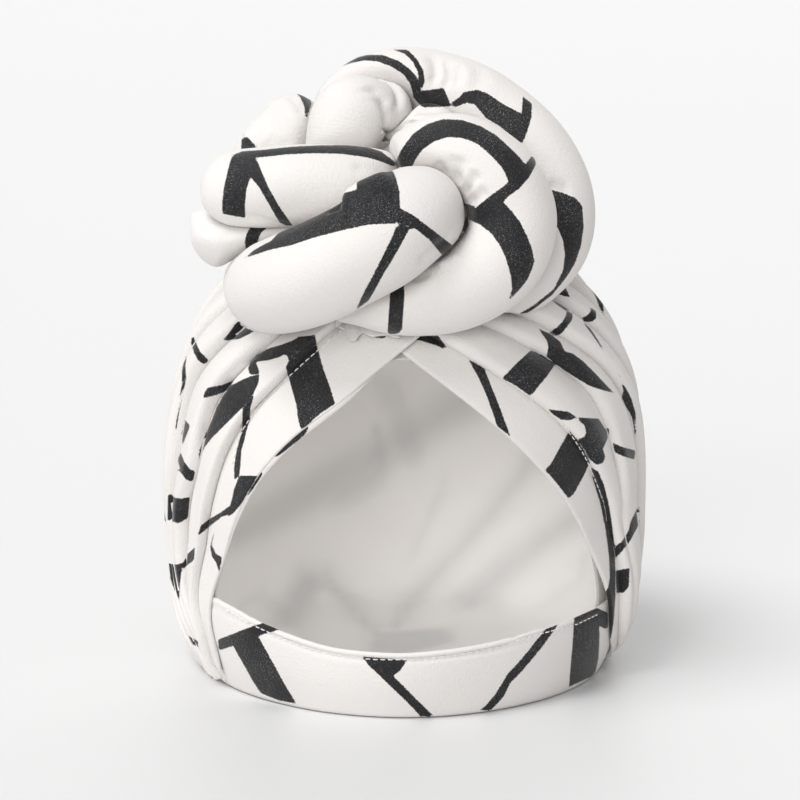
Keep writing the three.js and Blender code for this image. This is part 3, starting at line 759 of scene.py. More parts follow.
# %% The chart of the print
SEEN = {
    "roll_front": [
        [(244.3, 258.3), (268.4, 250.3), (292.5, 244.9), (313.9, 237.7), (340.7, 230.7),
         (367.5, 224.8), (398.3, 223.2), (400.2, 208.8), (399.6, 192.7), (396.4, 179.3),
         (392.9, 170.2), (384.9, 170.7), (372.9, 172.6), (362.1, 176.6), (356.8, 182),
         (356.3, 193.2), (348.8, 198), (330, 206.1), (313.9, 212.8), (297.9, 220), (287.1, 226.2),
         (277.8, 233.4), (271.1, 240.9), (263, 244.9), (253.7, 250.3)],
        [(397.5, 223.2), (410.4, 227), (402.9, 241.4), (394.3, 256.4), (384.9, 271.7),
         (377.7, 285.1), (368.8, 300.4), (355.4, 310.5), (364.8, 290.4), (372.9, 275.7),
         (382.2, 257), (391.6, 238.2)],
        [(399.1, 207.7), (412.5, 214.6), (427.8, 226.2), (456, 248), (452, 256.5),
         (442, 255), (429.1, 239.6), (415.7, 228.8), (398.3, 223.2)],
        [(334.8, 198.6), (343.4, 193.2), (355.7, 190), (362, 186), (362, 200), (346, 203), (340, 199)],
    ],
    "roll_left": [
        [(230.9, 155.7), (242.4, 151.2), (263, 149.8), (292.5, 146.6), (319.3, 145.3), (348.8, 145),
         (367.5, 147.1), (380.9, 151.2), (391.6, 159.2), (398.3, 165.9), (391.6, 165.9),
         (378.2, 160.5), (364.8, 157.1), (340.7, 153.8), (313.9, 153.3), (287.1, 154.4),
         (255, 157.9)],
        [(233.6, 155.2), (256.3, 156.5), (252.3, 168.6), (250.2, 176.6), (246.4, 190),
         (244.8, 206.1), (245.6, 217.9), (233.6, 216), (222.1, 213.6), (222.3, 200.7), (224.2, 186),
         (228.2, 168.6), (230.9, 159.2)],
        [(255.8, 157.1), (260.4, 168.6), (268.4, 187.3), (279.1, 206.1), (292.5, 225.4),
         (286.6, 225.9), (279.1, 222.1), (268.4, 203.4), (259, 187.3), (250.2, 176.6),
         (252.3, 165.9)],
    ],
    "roll_left_under": [
        [(256.3, 221.6), (272.4, 223.8), (265.2, 228.8), (260.4, 234.2), (257.1, 243.6),
         (258.2, 248.4), (251, 253.8), (245.6, 248.9), (244.8, 240.9), (247, 232.9), (251, 226.2)],
    ],
    "roll_far_left": [
        [(241.1, 140.4), (243.8, 133.8), (252.3, 141.8), (266.3, 150.4), (257.7, 150.9),
         (241.1, 153.8)],
        [(293.8, 89.8), (303.2, 92.2), (308.6, 96.8), (311.8, 102.9), (307.2, 117.7), (304.8, 116.3),
         (304.6, 107), (300.5, 97.6)],
    ],
    "roll_upper_left": [
        [(305.4, 97.6), (315.3, 96.8), (311.3, 102.9), (307.5, 113.7), (305.4, 116.3)],
    ],
    "roll_outer": [
        [(330, 70), (332.7, 66.8), (351.4, 58.8), (367.5, 54.7), (383.6, 55), (399.6, 61.4),
         (410.4, 69.5), (417.1, 77.5), (420.3, 84.2), (413.6, 96.3), (412, 90.9), (409.8, 82.9),
         (402.3, 73.5), (391.6, 66.8), (378.2, 61.4), (364.8, 60.4), (351.4, 63)],
        [(392.9, 49.6), (407.7, 49.6), (417.1, 59.3), (423.2, 70), (424.8, 81.5), (422.4, 86.9),
         (417.1, 95.7), (412.5, 96.3), (419.7, 84.2), (417.9, 72.1), (412.5, 61.4), (405, 53.9)],
        [(412.5, 95.7), (422.4, 90.9), (443.8, 87.7), (447.9, 97.6), (451.1, 106.4), (422.4, 107.5),
         (415.7, 100.3)],
        [(449.2, 104.3), (458.6, 97.6), (463.9, 92.2), (477.3, 89.6), (488, 93.6), (501.4, 102.9),
         (521.5, 113.9), (522.9, 96.3), (532, 103.8), (531.4, 117.7), (527.4, 131.1), (522.3, 143.9),
         (512.1, 136.4), (498.8, 125.7), (485.4, 117.7), (480, 111), (474.6, 104.3), (466.6, 102.9),
         (455.9, 107)],
        [(547.5, 188.9), (560.4, 192.1), (575.1, 197.5), (582.3, 206.1), (583.7, 227.5),
         (581, 246.3), (574.8, 263.7), (565.7, 278.4), (552.3, 295), (530.9, 311.1), (509.5, 323.1),
         (488, 331.2), (461.3, 335.2), (443.8, 337.9), (453.2, 331.4), (469.3, 329.3),
         (490.7, 325.5), (512.1, 318), (534.9, 304.4), (553.7, 289.1), (563, 270.4), (564.9, 254.3),
         (563, 240.9), (557.7, 227.5), (549.6, 224.8), (548.6, 211.4), (549.1, 200.7)],
    ],
    "roll_right": [
        [(394.3, 167.2), (395.6, 161.9), (401, 149.8), (413, 133.8), (426.4, 124.4), (442.5, 119),
         (461.3, 119.8), (480, 125.7), (496.1, 135.1), (509.5, 147.1), (520.2, 157.9),
         (525.5, 164.6), (532.2, 155.2), (536.8, 163.2), (529.6, 176.6), (520.2, 187.9),
         (508.1, 196.7), (502.8, 201.3), (512.1, 211.4), (520.2, 222.1), (526.9, 235.5),
         (532.2, 248.9), (534.6, 262.3), (528.2, 278.4), (520.2, 289.1), (508.4, 300.9),
         (512.1, 289.1), (510.8, 275.7), (505.4, 257), (498.8, 243.6), (490.7, 232.9), (480, 224.8),
         (467.9, 218.9), (470.6, 212.8), (476, 207.4), (488, 197.5), (500.1, 188.7), (508.9, 182),
         (502.8, 168.6), (490.7, 155.2), (477.3, 143.9), (463.9, 138.3), (447.9, 137),
         (434.5, 141.3), (422.4, 149.8), (415.7, 159.2), (412, 167)],
        [(458.6, 203.4), (467.9, 203.9), (476.8, 207.1), (468.8, 217.3), (456.4, 215.4),
         (458.6, 210.1)],
        [(390.3, 285.1), (403.9, 280.5), (404.5, 297.1), (403.1, 313.2), (402.3, 328.8),
         (398.3, 333.8), (387.3, 334.6), (388.4, 318.6), (389.5, 302.5)],
    ],
    "nape_band_jersey": [
        [(217.9, 639.6), (250, 627.1), (263.4, 622.7), (279.5, 629.5), (267, 633.4), (258, 635.7),
         (266.1, 650.4), (275, 666.4), (285.7, 686.1), (296.8, 703.9), (278.6, 700.4),
         (260.7, 693.2), (253.6, 682.5), (244.6, 666.4), (237.5, 653.9), (233, 645.9),
         (218.8, 650.7)],
        [(361.2, 656.6), (407.1, 660.4), (400, 670.9), (393.2, 676.2), (400, 682.5), (412.5, 695.4),
         (425, 707.5), (439.3, 721.8), (425, 721.8), (412.5, 707.5), (400, 695.4), (382.1, 678),
         (369.6, 666.4)],
        [(559.3, 623.9), (546.4, 628.6), (537.5, 638.8), (528.6, 650.4), (519.6, 661.1),
         (507.1, 674.5), (502.7, 682.5), (494.6, 695), (485.7, 705.7), (474.1, 715), (487.5, 713.2),
         (495.5, 705.7), (503.6, 696.8), (510.7, 682.5), (521.4, 671.8), (532.1, 659.3),
         (542.9, 645.9), (551.8, 633.4)],
        [(574.1, 617.9), (586.6, 612.1), (597.3, 607.9), (608, 612.9), (608, 627.1), (605.4, 628.9),
         (599.1, 625.9), (599.6, 634.3), (598.6, 657.5), (595.9, 670), (593.8, 675.4),
         (580.4, 681.6), (568.9, 687), (570.5, 666.4), (572.9, 639.6)],
    ],
    "wrap_left_jersey": [
        [(373, 336.8), (376, 331), (386, 331), (386, 338.6), (380, 338.2)],
        [(297.5, 336.7), (315, 335), (318, 350), (323.3, 368.3), (329.2, 385), (335.3, 403.7),
         (320, 413.7), (305.8, 426.7), (300.8, 429.7), (298, 418.3), (296.7, 406.7), (291.7, 388.3),
         (288.3, 376.7), (285.8, 366.7), (288.8, 360.8), (286.3, 354.2), (290, 348.3)],
        [(250, 374.5), (248, 368.3), (250.5, 361.7), (256.7, 355), (266.7, 349.2), (280, 345),
         (291.7, 340.8), (300, 336.7), (300, 346.7), (286.7, 353.7), (280, 356.7), (270, 360),
         (255.8, 362), (258.3, 368.3), (259.5, 374.5)],
        [(231.7, 385), (243.3, 379.2), (250, 376.3), (259.5, 374.7), (258.3, 383.3), (254.2, 392.5),
         (248.3, 400.8), (241.7, 408.3), (231.7, 418.3), (221.7, 428.3), (211.7, 438.3),
         (205, 446.7), (200, 456.7), (197, 465.8), (199.7, 450), (205, 435), (211.7, 420),
         (216.7, 406.7), (223.3, 395)],
        [(242.5, 408.3), (248.3, 400.8), (254.7, 391.7), (250.5, 408.3), (249.5, 420),
         (247.2, 427.5), (244.5, 440), (241.5, 450), (240.7, 463.3), (239.3, 475.8), (234.2, 480.3),
         (234, 466.7), (236.5, 450), (239.7, 436.7), (242.2, 428.3)],
        [(239.3, 475.8), (250, 475.5), (257.5, 476), (251.7, 486.7), (247.5, 493.3), (240.8, 505),
         (233.3, 513.3), (228, 516.3), (228.7, 510), (231.7, 500), (234.2, 488.3)],
        [(228, 507), (236.1, 503.6), (237.5, 506.6), (233.9, 512), (228.6, 514.6), (221.4, 517),
         (210.7, 525.5), (203.6, 531.6), (197.9, 535.7), (200.9, 525.4), (210.7, 518.2),
         (221.4, 512)],
        [(191.7, 336.7), (193.7, 336.3), (195.8, 341.7), (200, 351.7), (208.7, 360), (205, 365),
         (198.3, 360.8), (194.2, 353.3), (191, 343.3)],
        [(207.5, 387.5), (221.7, 385), (234.2, 380.5), (230, 386.7), (228.3, 390.3), (216.7, 395),
         (202.7, 398.3), (205, 391.7)],
        [(240, 319.3), (240.8, 325), (246.7, 328.3), (254.2, 331.3), (245, 336.2), (240, 338.8),
         (222.2, 341.2), (230, 331.7), (235, 324.2)],
        [(184.7, 419.2), (190, 425.8), (186.7, 435), (182.5, 444.7), (181.7, 433.3), (183.8, 425)],
        [(178.7, 456.7), (180.8, 452.5), (184.2, 461.7), (190, 469.2), (195, 472.2), (193.3, 482),
         (186.7, 477.5), (180.5, 470), (178, 461.7)],
        [(187, 351.7), (185.5, 366.7), (186.2, 378.3), (182.8, 395), (179.3, 411.7), (176.7, 430),
         (175.3, 430), (176.3, 416.7), (179.3, 400), (181.7, 383.3), (182, 370), (185.3, 355)],
        [(167.9, 494.1), (171.8, 494.1), (175, 497.7), (180.4, 498.6), (190, 496.8), (188, 518.2),
         (178.6, 523.4), (167.5, 520)],
        [(172.3, 470), (181.2, 469.1), (185.7, 473.6), (194.3, 470), (192.5, 482.1), (185.7, 479.3),
         (179.5, 470.9)],
        [(167.9, 563.2), (176.8, 564.6), (182.5, 562.5), (180.9, 575.4), (179.6, 587.9),
         (179.3, 600.4), (174.1, 588.8), (169.6, 577.1)],
        [(195, 547.1), (193.9, 560.4), (185.7, 566.4), (180.9, 572.3), (182.1, 564.6),
         (187.5, 553.9)],
        [(214.5, 531.6), (211.8, 545), (216.1, 553.9), (222, 557.1), (219.3, 572.7), (216.1, 562.9),
         (211.6, 555.7), (210.2, 546.8), (212.3, 537.9)],
        [(188.2, 635.4), (197.9, 641.1), (198.2, 647.5), (191.6, 643.6)],
    ],
    "facing_left_jersey": [
        [(307, 421), (300, 427), (292, 434), (284, 443), (277, 451), (274, 456), (281, 459), (290, 455),
         (298, 446), (304, 436), (309, 428)],
        [(262, 468), (256, 476), (249, 487), (246, 499), (252, 503), (258, 492), (264, 480)],
    ],
    "wrap_right_jersey": [
        [(411, 339), (423, 336), (438, 335.5), (446.5, 347.5), (443, 348.5), (436.7, 345.8), (423, 341.2)],
        [(468.3, 359.2), (484.2, 368.3), (490.8, 385), (498.3, 403.3), (510.7, 436.7),
         (496.7, 425.8), (493, 413.3), (486.3, 395), (478.8, 378.3)],
        [(569.2, 430.8), (577, 440), (583.7, 451.7), (589.5, 463.3), (583.3, 476.7), (573.7, 494.2),
         (568.3, 498.3), (558.3, 485.3), (550, 475.3), (544.7, 470.3), (551.3, 463.3), (558.3, 450)],
        [(530.8, 350.3), (543.3, 355.8), (555.3, 364.2), (546.7, 376.7), (538.3, 386.7),
         (533.3, 393.3), (529.2, 395.5), (516.7, 386.2), (502, 378.5), (510, 370), (520, 360)],
        [(547.5, 409.2), (560, 410.5), (568.3, 411.7), (577.5, 417.5), (570, 420.3), (561.7, 420),
         (553.3, 414.7)],
        [(576.3, 417.2), (598.7, 418.7), (607, 431.7), (607.8, 438.3), (602.8, 449.2),
         (605.3, 456.7), (602.8, 463.3), (596.7, 465), (590, 460), (583.3, 448.3), (577, 439.7),
         (584.2, 436.7), (586.3, 432.5), (584.2, 425), (579.2, 420.8)],
        [(538.7, 328.7), (550, 333.8), (560, 341.3), (565, 351.3), (573.3, 353.8), (583.3, 361.3),
         (593.3, 371.3), (603.3, 381.7), (614, 393), (603.3, 390.3), (590, 386.2), (580, 380.3),
         (566.7, 372), (555, 363.7), (546.3, 356.2), (548.3, 348.3), (547.5, 341.7), (543.3, 335.8)],
        [(566.7, 310.5), (572.8, 313.8), (572, 320), (567, 326.7), (562, 333.3), (555.8, 336.2),
         (548.8, 332.7), (556.7, 327.5), (562.5, 321.7), (565.8, 315.8)],
        [(550.5, 299.2), (560, 303.8), (570.3, 310.8), (565, 310.3), (556.7, 304.5)],
        [(590, 307.5), (596.2, 311.3), (596.2, 318.7), (591.7, 322), (585, 321.7), (580.5, 318.3),
         (586.7, 315.8), (590.8, 311.7)],
        [(583.3, 322.2), (590, 328), (596.7, 338), (604.7, 351.3), (600, 346.2), (593.3, 336.2),
         (586.7, 327.8)],
        [(578.3, 270), (580, 269.2), (588.7, 281.3), (597.2, 293.3), (603.3, 304.2), (604.3, 315.8),
         (600, 308.7), (595, 295.3), (586.7, 282)],
        [(555, 293.7), (564.2, 285.3), (567.5, 291.7), (570.3, 297.8), (562.5, 295.3)],
        [(618, 372.5), (624.5, 385), (631.3, 398.3), (635.7, 413.3), (636.3, 430), (634.2, 439.2),
         (633.3, 425), (630, 413.3), (625, 405.3), (621.3, 398.7), (623.3, 390), (620.8, 380)],
        [(612, 442), (621.7, 446.7), (635.3, 450.5), (634.7, 459.7), (625, 457), (615, 452.8)],
        [(605.3, 428), (608.7, 428.3), (609.3, 438.3), (606.7, 432.5)],
        [(590.2, 467.3), (598.2, 471.4), (603.9, 484.3), (608.4, 502.1), (612, 523.6), (614.6, 545),
         (615.5, 570), (615.5, 595), (613.8, 621.8), (611.1, 637.9), (604.1, 645.5), (608, 630.7),
         (608, 612.9), (603.2, 595), (608, 588.2), (609.8, 577.1), (608.9, 555.7), (605.4, 528.9),
         (600, 502.1), (593.4, 480.7)],
        [(639.3, 503), (639.3, 523.6), (629.8, 541.8), (621.4, 552.1), (614.8, 558.8),
         (614.8, 546.8), (622.3, 541.1), (628.6, 530.7), (630.4, 521.8), (635.7, 511.1)],
        [(615.7, 570.5), (629.8, 567.9), (628.9, 586.1), (624.1, 592.7), (616.6, 593.2),
         (615.7, 580.7)],
    ],
}
SEEN["roll_heart"] = [SEEN["roll_outer"][2]]  # one bar lies over both

# %% [markdown]
# Where a stuffed roll bends or is tied, its cloth gathers in creases. They are charted
# as lines of the view too, each with its depth and half width in millimetres. A depth
# below 0 raises a bump. Sculpting them would do as well, but a chart can be read again.

# %% The chart of creases
CREASES = {
    "roll_front_jersey": [
        (1.8, 3.0, [(327, 212), (340, 206), (350, 201)]),
        (-5.0, 8.5, [(340, 207), (352, 201), (364, 193), (378, 187), (394, 184)]),
        (1.3, 2.5, [(428, 252), (440, 246), (452, 236)]),
        (1.2, 2.5, [(420, 262), (430, 254), (436, 250)]),
    ],
    "roll_right_jersey": [
        (2.4, 3.0, [(457, 186), (456, 176), (458, 166), (459, 154)]),
        (2.0, 2.6, [(462, 194), (468, 188), (473, 180), (479, 171)]),
        (1.6, 2.4, [(468, 201), (478, 197), (488, 190)]),
        (1.8, 2.6, [(446, 176), (440, 168), (436, 160)]),
        (1.8, 2.4, [(432, 262), (440, 256), (452, 250)]),
        (1.6, 2.2, [(412, 282), (420, 276), (430, 274)]),
        (1.2, 2.4, [(365, 322), (380, 314), (396, 312)]),
        (-1.4, 3.0, [(438, 268), (450, 262), (462, 254)]),
    ],
    "roll_outer_jersey": [
        (2.2, 2.8, [(430, 54), (437, 63), (437, 74), (430, 86)]),
        (1.8, 2.6, [(442, 57), (450, 68), (449, 79), (441, 90)]),
        (1.5, 2.8, [(455, 62), (458, 76), (453, 88)]),
        (1.0, 3.5, [(480, 66), (480, 80), (472, 90)]),
        (1.0, 4.0, [(548, 196), (556, 214), (560, 232)]),
        (1.5, 3.0, [(546, 184), (558, 188), (572, 192)]),
        (1.6, 2.6, [(500, 318), (524, 308), (548, 290)]),
    ],
    "roll_upper_left_jersey": [
        (2.4, 2.2, [(368, 76), (384, 77), (393, 83), (398, 92), (399, 103), (392, 110)]),
        (2.0, 2.0, [(364, 86), (375, 90), (384, 98), (389, 107)]),
        (2.0, 2.2, [(378, 97), (384, 106), (387, 116), (385, 126), (381, 132)]),
        (1.8, 2.2, [(382, 131), (388, 135), (390, 143), (390, 156)]),
        (1.4, 3.0, [(356, 72), (372, 74), (386, 80)]),
    ],
    "roll_far_left_jersey": [
        (1.4, 2.6, [(290, 94), (299, 103), (304, 116)]),
        (1.0, 2.4, [(262, 142), (276, 146), (292, 146)]),
    ],
    "roll_heart_jersey": [
        (1.6, 1.6, [(386, 116), (400, 111), (418, 109), (436, 108)]),
        (1.5, 1.5, [(388, 124), (402, 117), (420, 115), (440, 114)]),
        (1.3, 1.5, [(392, 132), (404, 124), (420, 121)]),
        (1.4, 1.6, [(392, 108), (402, 103), (414, 102)]),
        (1.2, 1.4, [(408, 111), (414, 116), (424, 118)]),
    ],
    "roll_left_jersey": [
        (1.2, 2.4, [(236, 216), (258, 219), (286, 226)]),
        (1.0, 3.0, [(352, 166), (370, 168), (388, 170)]),
    ],
}

# %% [markdown]
# Both charts are laid on the pieces by rays from the eye. A crease moves the points near
# its line inwards. A bar gives each point its depth inside the outline, from which the
# material later draws an edge that is sharper than the mesh.

# %% Lay the chart on the cloth
INK_REACH = 4.0  # mm either side of an outline in which the depth is kept
RAY_STEP = 2.0  # pixels between the rays along an outline


def cloth_under(name, pixels):
    """Cloth coordinates where rays first meet the piece, and the points met."""
    item = made[name]
    tree = tree_of(item)
    middle = np.mean(pixels, axis=0)
    laid, met = [], []
    for pixel in pixels:
        for pull in (0, 0.02, 0.05, 0.1, 0.17, 0.25):
            px, py = np.asarray(pixel) * (1 - pull) + middle * pull
            place, normal, index, _ = tree.ray_cast(Vector(EYE), Vector(view_ray(px, py)))
            if place is not None:
                break
        if place is None:
            continue
        face = list(item["faces"][index])[:4]
        corners, cloth = item["points"][face], item["cloth"][face]
        weight = 1 / (np.linalg.norm(corners - np.array(place), axis=1) + 1e-4) ** 2
        laid.append((cloth * weight[:, None]).sum(0) / weight.sum())
        met.append((np.array(place), np.array(normal)))
    return np.array(laid), met


def eased(outline, times=1):
    """A closed outline averaged with its neighbours, which takes out the rays' jitter."""
    for _ in range(times):
        outline = (np.roll(outline, 1, 0) + 2 * outline + np.roll(outline, -1, 0)) / 4
    return outline


def fine_outline(points, step=2.5, closed=True):
    """The same outline with a point at least every step."""
    points = np.array(points, float)
    ends = np.roll(points, -1, 0) if closed else points[1:]
    out = []
    for a, b in zip(points, ends):
        n = max(1, int(np.linalg.norm(b - a) / step))
        out.append(a + (b - a) * np.linspace(0, 1, n, endpoint=False)[:, None])
    if not closed:
        out.append(points[-1:])
    return np.concatenate(out)


def to_segments(points, a, d):
    """Distance from each point to segments that start at a and run by d, and the share of
    each segment at which it is nearest."""
    rel = points[:, None] - a
    t = np.clip((rel * d).sum(-1) / np.maximum((d * d).sum(-1), 1e-9), 0, 1)
    return np.linalg.norm(rel - t[..., None] * d, axis=-1), t


def depth_inside(points, outline):
    """Distance from points to a closed outline in the cloth's plane, above 0 inside it."""
    a, b = outline, np.roll(outline, -1, 0)
    d = b - a
    near = to_segments(points, a, d)[0].min(1)
    y = points[:, 1:2]
    crosses = (a[:, 1] > y) != (b[:, 1] > y)
    x_at = a[:, 0] + (y - a[:, 1]) / np.where(d[:, 1] == 0, 1e-9, d[:, 1]) * d[:, 0]
    inside = (crosses & (points[:, :1] < x_at)).sum(1) % 2 == 1
    return np.where(inside, near, -near)


def parts_near(points, outline, margin, wanted=None):
    """Indices of the points in an outline's box grown by a margin, a few thousand at a time."""
    inside = ((points > outline.min(0) - margin) & (points < outline.max(0) + margin)).all(1)
    near = np.flatnonzero(inside if wanted is None else inside & wanted)
    return [part for part in np.array_split(near, max(1, len(near) // 4000)) if len(part)]


def add_ink(name, outlines, attribute="ink", blur=INK_REACH):
    """Depth inside the nearest outline at each point of a piece, from -blur to blur mm."""
    item = made[name]
    ink = item.setdefault(attribute, np.full(len(item["cloth"]), -blur))
    for outline in outlines:
        for part in parts_near(item["cloth"], outline, blur):
            depth = np.clip(depth_inside(item["cloth"][part], outline), -blur, blur)
            ink[part] = np.maximum(ink[part], depth)


def press(name, creases):
    """Moves cloth in by depth * exp(-(d / wide)^2) along charted lines, fading at the ends."""
    item = made[name]
    mesh = item["piece"].data
    normal = np.empty(3 * len(item["points"]), np.float32)
    mesh.vertices.foreach_get("normal", normal)
    move = np.zeros(len(item["points"]))
    for depth, wide, line in creases:
        laid, _ = cloth_under(name, fine_outline(line, closed=False))
        if len(laid) < 2:
            continue
        a, d = laid[:-1], np.diff(laid, axis=0)
        for part in parts_near(item["cloth"], laid, 3 * wide):
            far, share = to_segments(item["cloth"][part], a, d)
            best = np.arange(len(part)), far.argmin(1)
            along = (best[1] + share[best]) / len(a)
            fade = smooth(along, -0.05, 0.25) * (1 - smooth(along, 0.75, 1.05))
            push = -depth * fade * np.exp(-((far[best] / wide) ** 2))
            move[part] = np.where(np.abs(push) > np.abs(move[part]), push, move[part])
    item["points"] = item["points"] + normal.reshape(-1, 3) * move[:, None]
    mesh.vertices.foreach_set("co", (item["points"] / 1000).astype(np.float32).ravel())
    mesh.update()
    item.pop("tree", None)
    print(name, len(creases), "creases, deepest", round(float(np.abs(move).max()), 1), "mm")


for name, creases in CREASES.items():
    press(name, creases)


def in_view(points, tree, slack, step=1):
    """For every step-th point, whether a ray from the eye comes within slack mm of it."""
    eye, reach = Vector(EYE), points - EYE
    far = np.linalg.norm(reach, axis=1)
    rays = (reach / far[:, None]).tolist()
    seen = np.zeros(len(points), bool)
    for i in range(0, len(points), step):
        met = tree.ray_cast(eye, rays[i])[3]
        seen[i] = met is not None and met > far[i] - slack
    return seen


def enclosed(outline):
    """Area inside an outline, half the sum of x1 y2 - x2 y1."""
    x, y = np.array(outline).T
    return abs((x * np.roll(y, -1) - np.roll(x, -1) * y).sum()) / 2


def print_from_view(name, outlines):
    """Points that the camera sees on this piece take their depth in the outlines as seen.
    The others take it in the cloth, where the bars run on, unless rays that cross from
    fold to fold would spread a bar over more than 2.6 times its size."""
    item = made[name]
    for outline in outlines:
        laid = eased(cloth_under(name, fine_outline(outline, RAY_STEP))[0])
        if len(laid) > 4 and enclosed(laid) < 2.6 * enclosed(outline) * MM_A_PIXEL**2:
            add_ink(name, [laid])
    reach = item["points"] - EYE
    depth = reach @ FORWARD
    view = VIEW / 2 + FOCAL * np.stack([reach[:, 0], -(reach @ UPWARD)], 1) / depth[:, None]
    seen = in_view(item["points"], tree_of(item), 0.8)
    drawn = np.full(len(seen), -INK_REACH)
    for outline in map(np.array, outlines):
        for part in parts_near(view, outline, INK_REACH / MM_A_PIXEL, seen):
            inside = np.clip(MM_A_PIXEL * depth_inside(view[part], outline), -INK_REACH, INK_REACH)
            drawn[part] = np.maximum(drawn[part], inside)
    item["ink"] = np.where(seen, drawn, item.get("ink", -INK_REACH))
    print(name, len(outlines), "bars,", int(seen.sum()), "points in view")


for name in SEEN:
    print_from_view(name if name in made else name + "_jersey", SEEN[name])

# %% [markdown]
# Topstitching holds the edges: a white thread in stitches of 2.3 mm. Each stitch is a
# short rod that dips into the cloth at both ends, laid along a charted line. A texture
# could show them too, but rods catch the light and stay crisp close up.

# %% Topstitching
STITCHES = {
    "wrap_left_jersey": [
        (344, 328), (331, 339), (318, 350.5), (304, 363), (290, 376), (278, 387), (267, 397),
        (256, 411), (248, 422), (243, 430), (239, 440), (236, 452), (232, 466),
    ],
    "wrap_right_jersey": [
        (560, 421), (567, 429), (575, 440), (582, 451), (588, 462), (594, 476), (600, 491),
        (605, 508), (608, 528),
    ],
    "nape_band_jersey": [
        (226, 609), (252, 624.5), (277, 636), (305, 647), (332.5, 655), (363.5, 659), (391, 659.5),
        (418, 659), (456.5, 655), (495, 648), (533, 636), (558, 629), (577, 624), (598, 614),
    ],
}


def sew(name, line, pitch=3.1, long=2.3, thick=0.26, around=6):
    """Rods of six sides, a pitch apart along the line, as one mesh. Each rod is carried
    through five places, of which the first and last lie 0.25 mm under the cloth."""
    met = cloth_under(name, fine_outline(line, 0.7, closed=False))[1]
    p, n = (np.array([m[k] for m in met]) for k in (0, 1))
    n = n * np.where((n * (EYE - p)).sum(1) < 0, -1, 1)[:, None]
    walk = walked(p)
    turn = np.linspace(0, 2 * math.pi, around, endpoint=False)[:, None]
    corners, faces = [], []
    for start in np.arange(0.5, walk[-1] - long, pitch):
        at = start + long * np.array([0, 0.2, 0.5, 0.8, 1.0])
        place, up = points_at(at, walk, p), unit(points_at(at, walk, n))
        if np.linalg.norm(place[-1] - place[0]) > 1.6 * long:  # the line jumps to another fold
            continue
        aside = unit(np.cross(unit(place[-1] - place[0]), up))
        place = place + up * np.array([-0.25, 0.18, 0.25, 0.18, -0.25])[:, None]
        round_rod = up[:, None] * np.cos(turn) + aside[:, None] * np.sin(turn)
        base = len(corners)
        corners.extend((place[:, None] + thick * round_rod).reshape(-1, 3))
        faces.extend(tuple(base + i for i in f) for f in grid_faces(len(at), around, True).tolist())
        faces.append(tuple(range(base, base + around))[::-1])
        faces.append(tuple(range(len(corners) - around, len(corners))))
    piece = smooth_piece(name.replace("jersey", "topstitch"), np.array(corners), faces)
    print(piece.name, len(corners) // (len(at) * around), "stitches")
    return piece


threads = []
for name, line in STITCHES.items():
    press(name, [(0.45, 1.1, line)])
    threads.append(sew(name, line))

# %% [markdown]
# The view shows less than half of the cloth. The rest of the print is laid by a seeded
# draw in the same hand, thick bars of 10 mm and thin ones of 5 mm at a few angles, and
# only where the view doesn't reach. Running the seen bars on would need more of the
# pattern than one view shows.

# %% The print on the sides that the view doesn't show


def seen_points():
    """For every third point of each piece, whether the camera sees it past all the others."""
    faces, offset = [], 0
    for item in made.values():
        faces += [tuple(c + offset for c in f) for f in item["faces"]]
        offset += len(item["points"])
    points = np.concatenate([item["points"] for item in made.values()])
    everything = BVHTree.FromPolygons(points.tolist(), faces)
    for item in made.values():
        item["seen"] = in_view(item["points"], everything, 2.5, step=3)


def gap_between(line, points):
    """Least distance from the points of a line to other points."""
    return np.linalg.norm(line[:, None] - points, axis=-1).min() if len(points) else np.inf


def bar(start, end, wide, slant=0.0):
    """A straight bar of cloth between two points in mm, its ends cut at a slant."""
    start, end = np.array(start, float), np.array(end, float)
    along = unit(end - start)
    side = np.array([-along[1], along[0]]) * wide / 2
    cut = along * slant
    corners = [start + side + cut, end + side - cut, end - side + cut, start - side - cut]
    return fine_outline(corners, 4.0)


def unseen_bars(name, seed, spacing=26.0):
    """Bars drawn one after another, kept where they and 5 mm round them are unseen."""
    item = made[name]
    r = np.random.default_rng(seed)
    low, high = item["cloth"].min(0), item["cloth"].max(0)
    seen = item["cloth"][item["seen"]][::4]
    kept, placed = [], np.zeros((0, 2))
    for _ in range(int(min(420, 60 + 0.03 * np.prod(high - low)))):
        middle = r.uniform(low + 4, high - 4)
        turn = math.radians(r.choice([28, 62, 118, 152, 95]) + r.uniform(-6, 6))
        thick = r.random() < 0.55
        wide, reach = (10.0, r.uniform(22, 40)) if thick else (4.5, r.uniform(30, 60))
        half = np.array([math.cos(turn), math.sin(turn)]) * reach / 2
        line = middle + np.linspace(-1, 1, 14)[:, None] * half
        if (line < low - 6).any() or (line > high + 6).any():
            continue
        if gap_between(line, seen) < wide / 2 + 4:
            continue
        if len(placed) and gap_between(line, placed) < spacing * r.uniform(0.35, 0.8):
            continue
        kept.append(bar(line[0], line[-1], wide, r.uniform(-3, 3)))
        placed = np.concatenate([placed, line])
        if r.random() < 0.6:
            turn += math.radians(r.choice([70, -75, 50]))
            tip = line[-1] + np.array([math.cos(turn), math.sin(turn)]) * r.uniform(16, 30)
            joined = line[-1] + (tip - line[-1]) * np.linspace(0, 1, 8)[:, None]
            if gap_between(joined, seen) > 7:
                kept.append(bar(line[-1], tip, 5.0 if thick else 9.0, 2.0))
                placed = np.concatenate([placed, joined])
    return kept


seen_points()
made["cap_shell"]["seen"][:] = False  # it lies right behind the lining, which is seen
for k, name in enumerate(made):
    if name not in ("cap_lining", "nape_band_jersey", "facing_left_jersey", "knot_gather_jersey"):
        hidden = unseen_bars(name, 100 + k)
        add_ink(name, hidden)
        print(name, len(hidden), "bars on the unseen side")

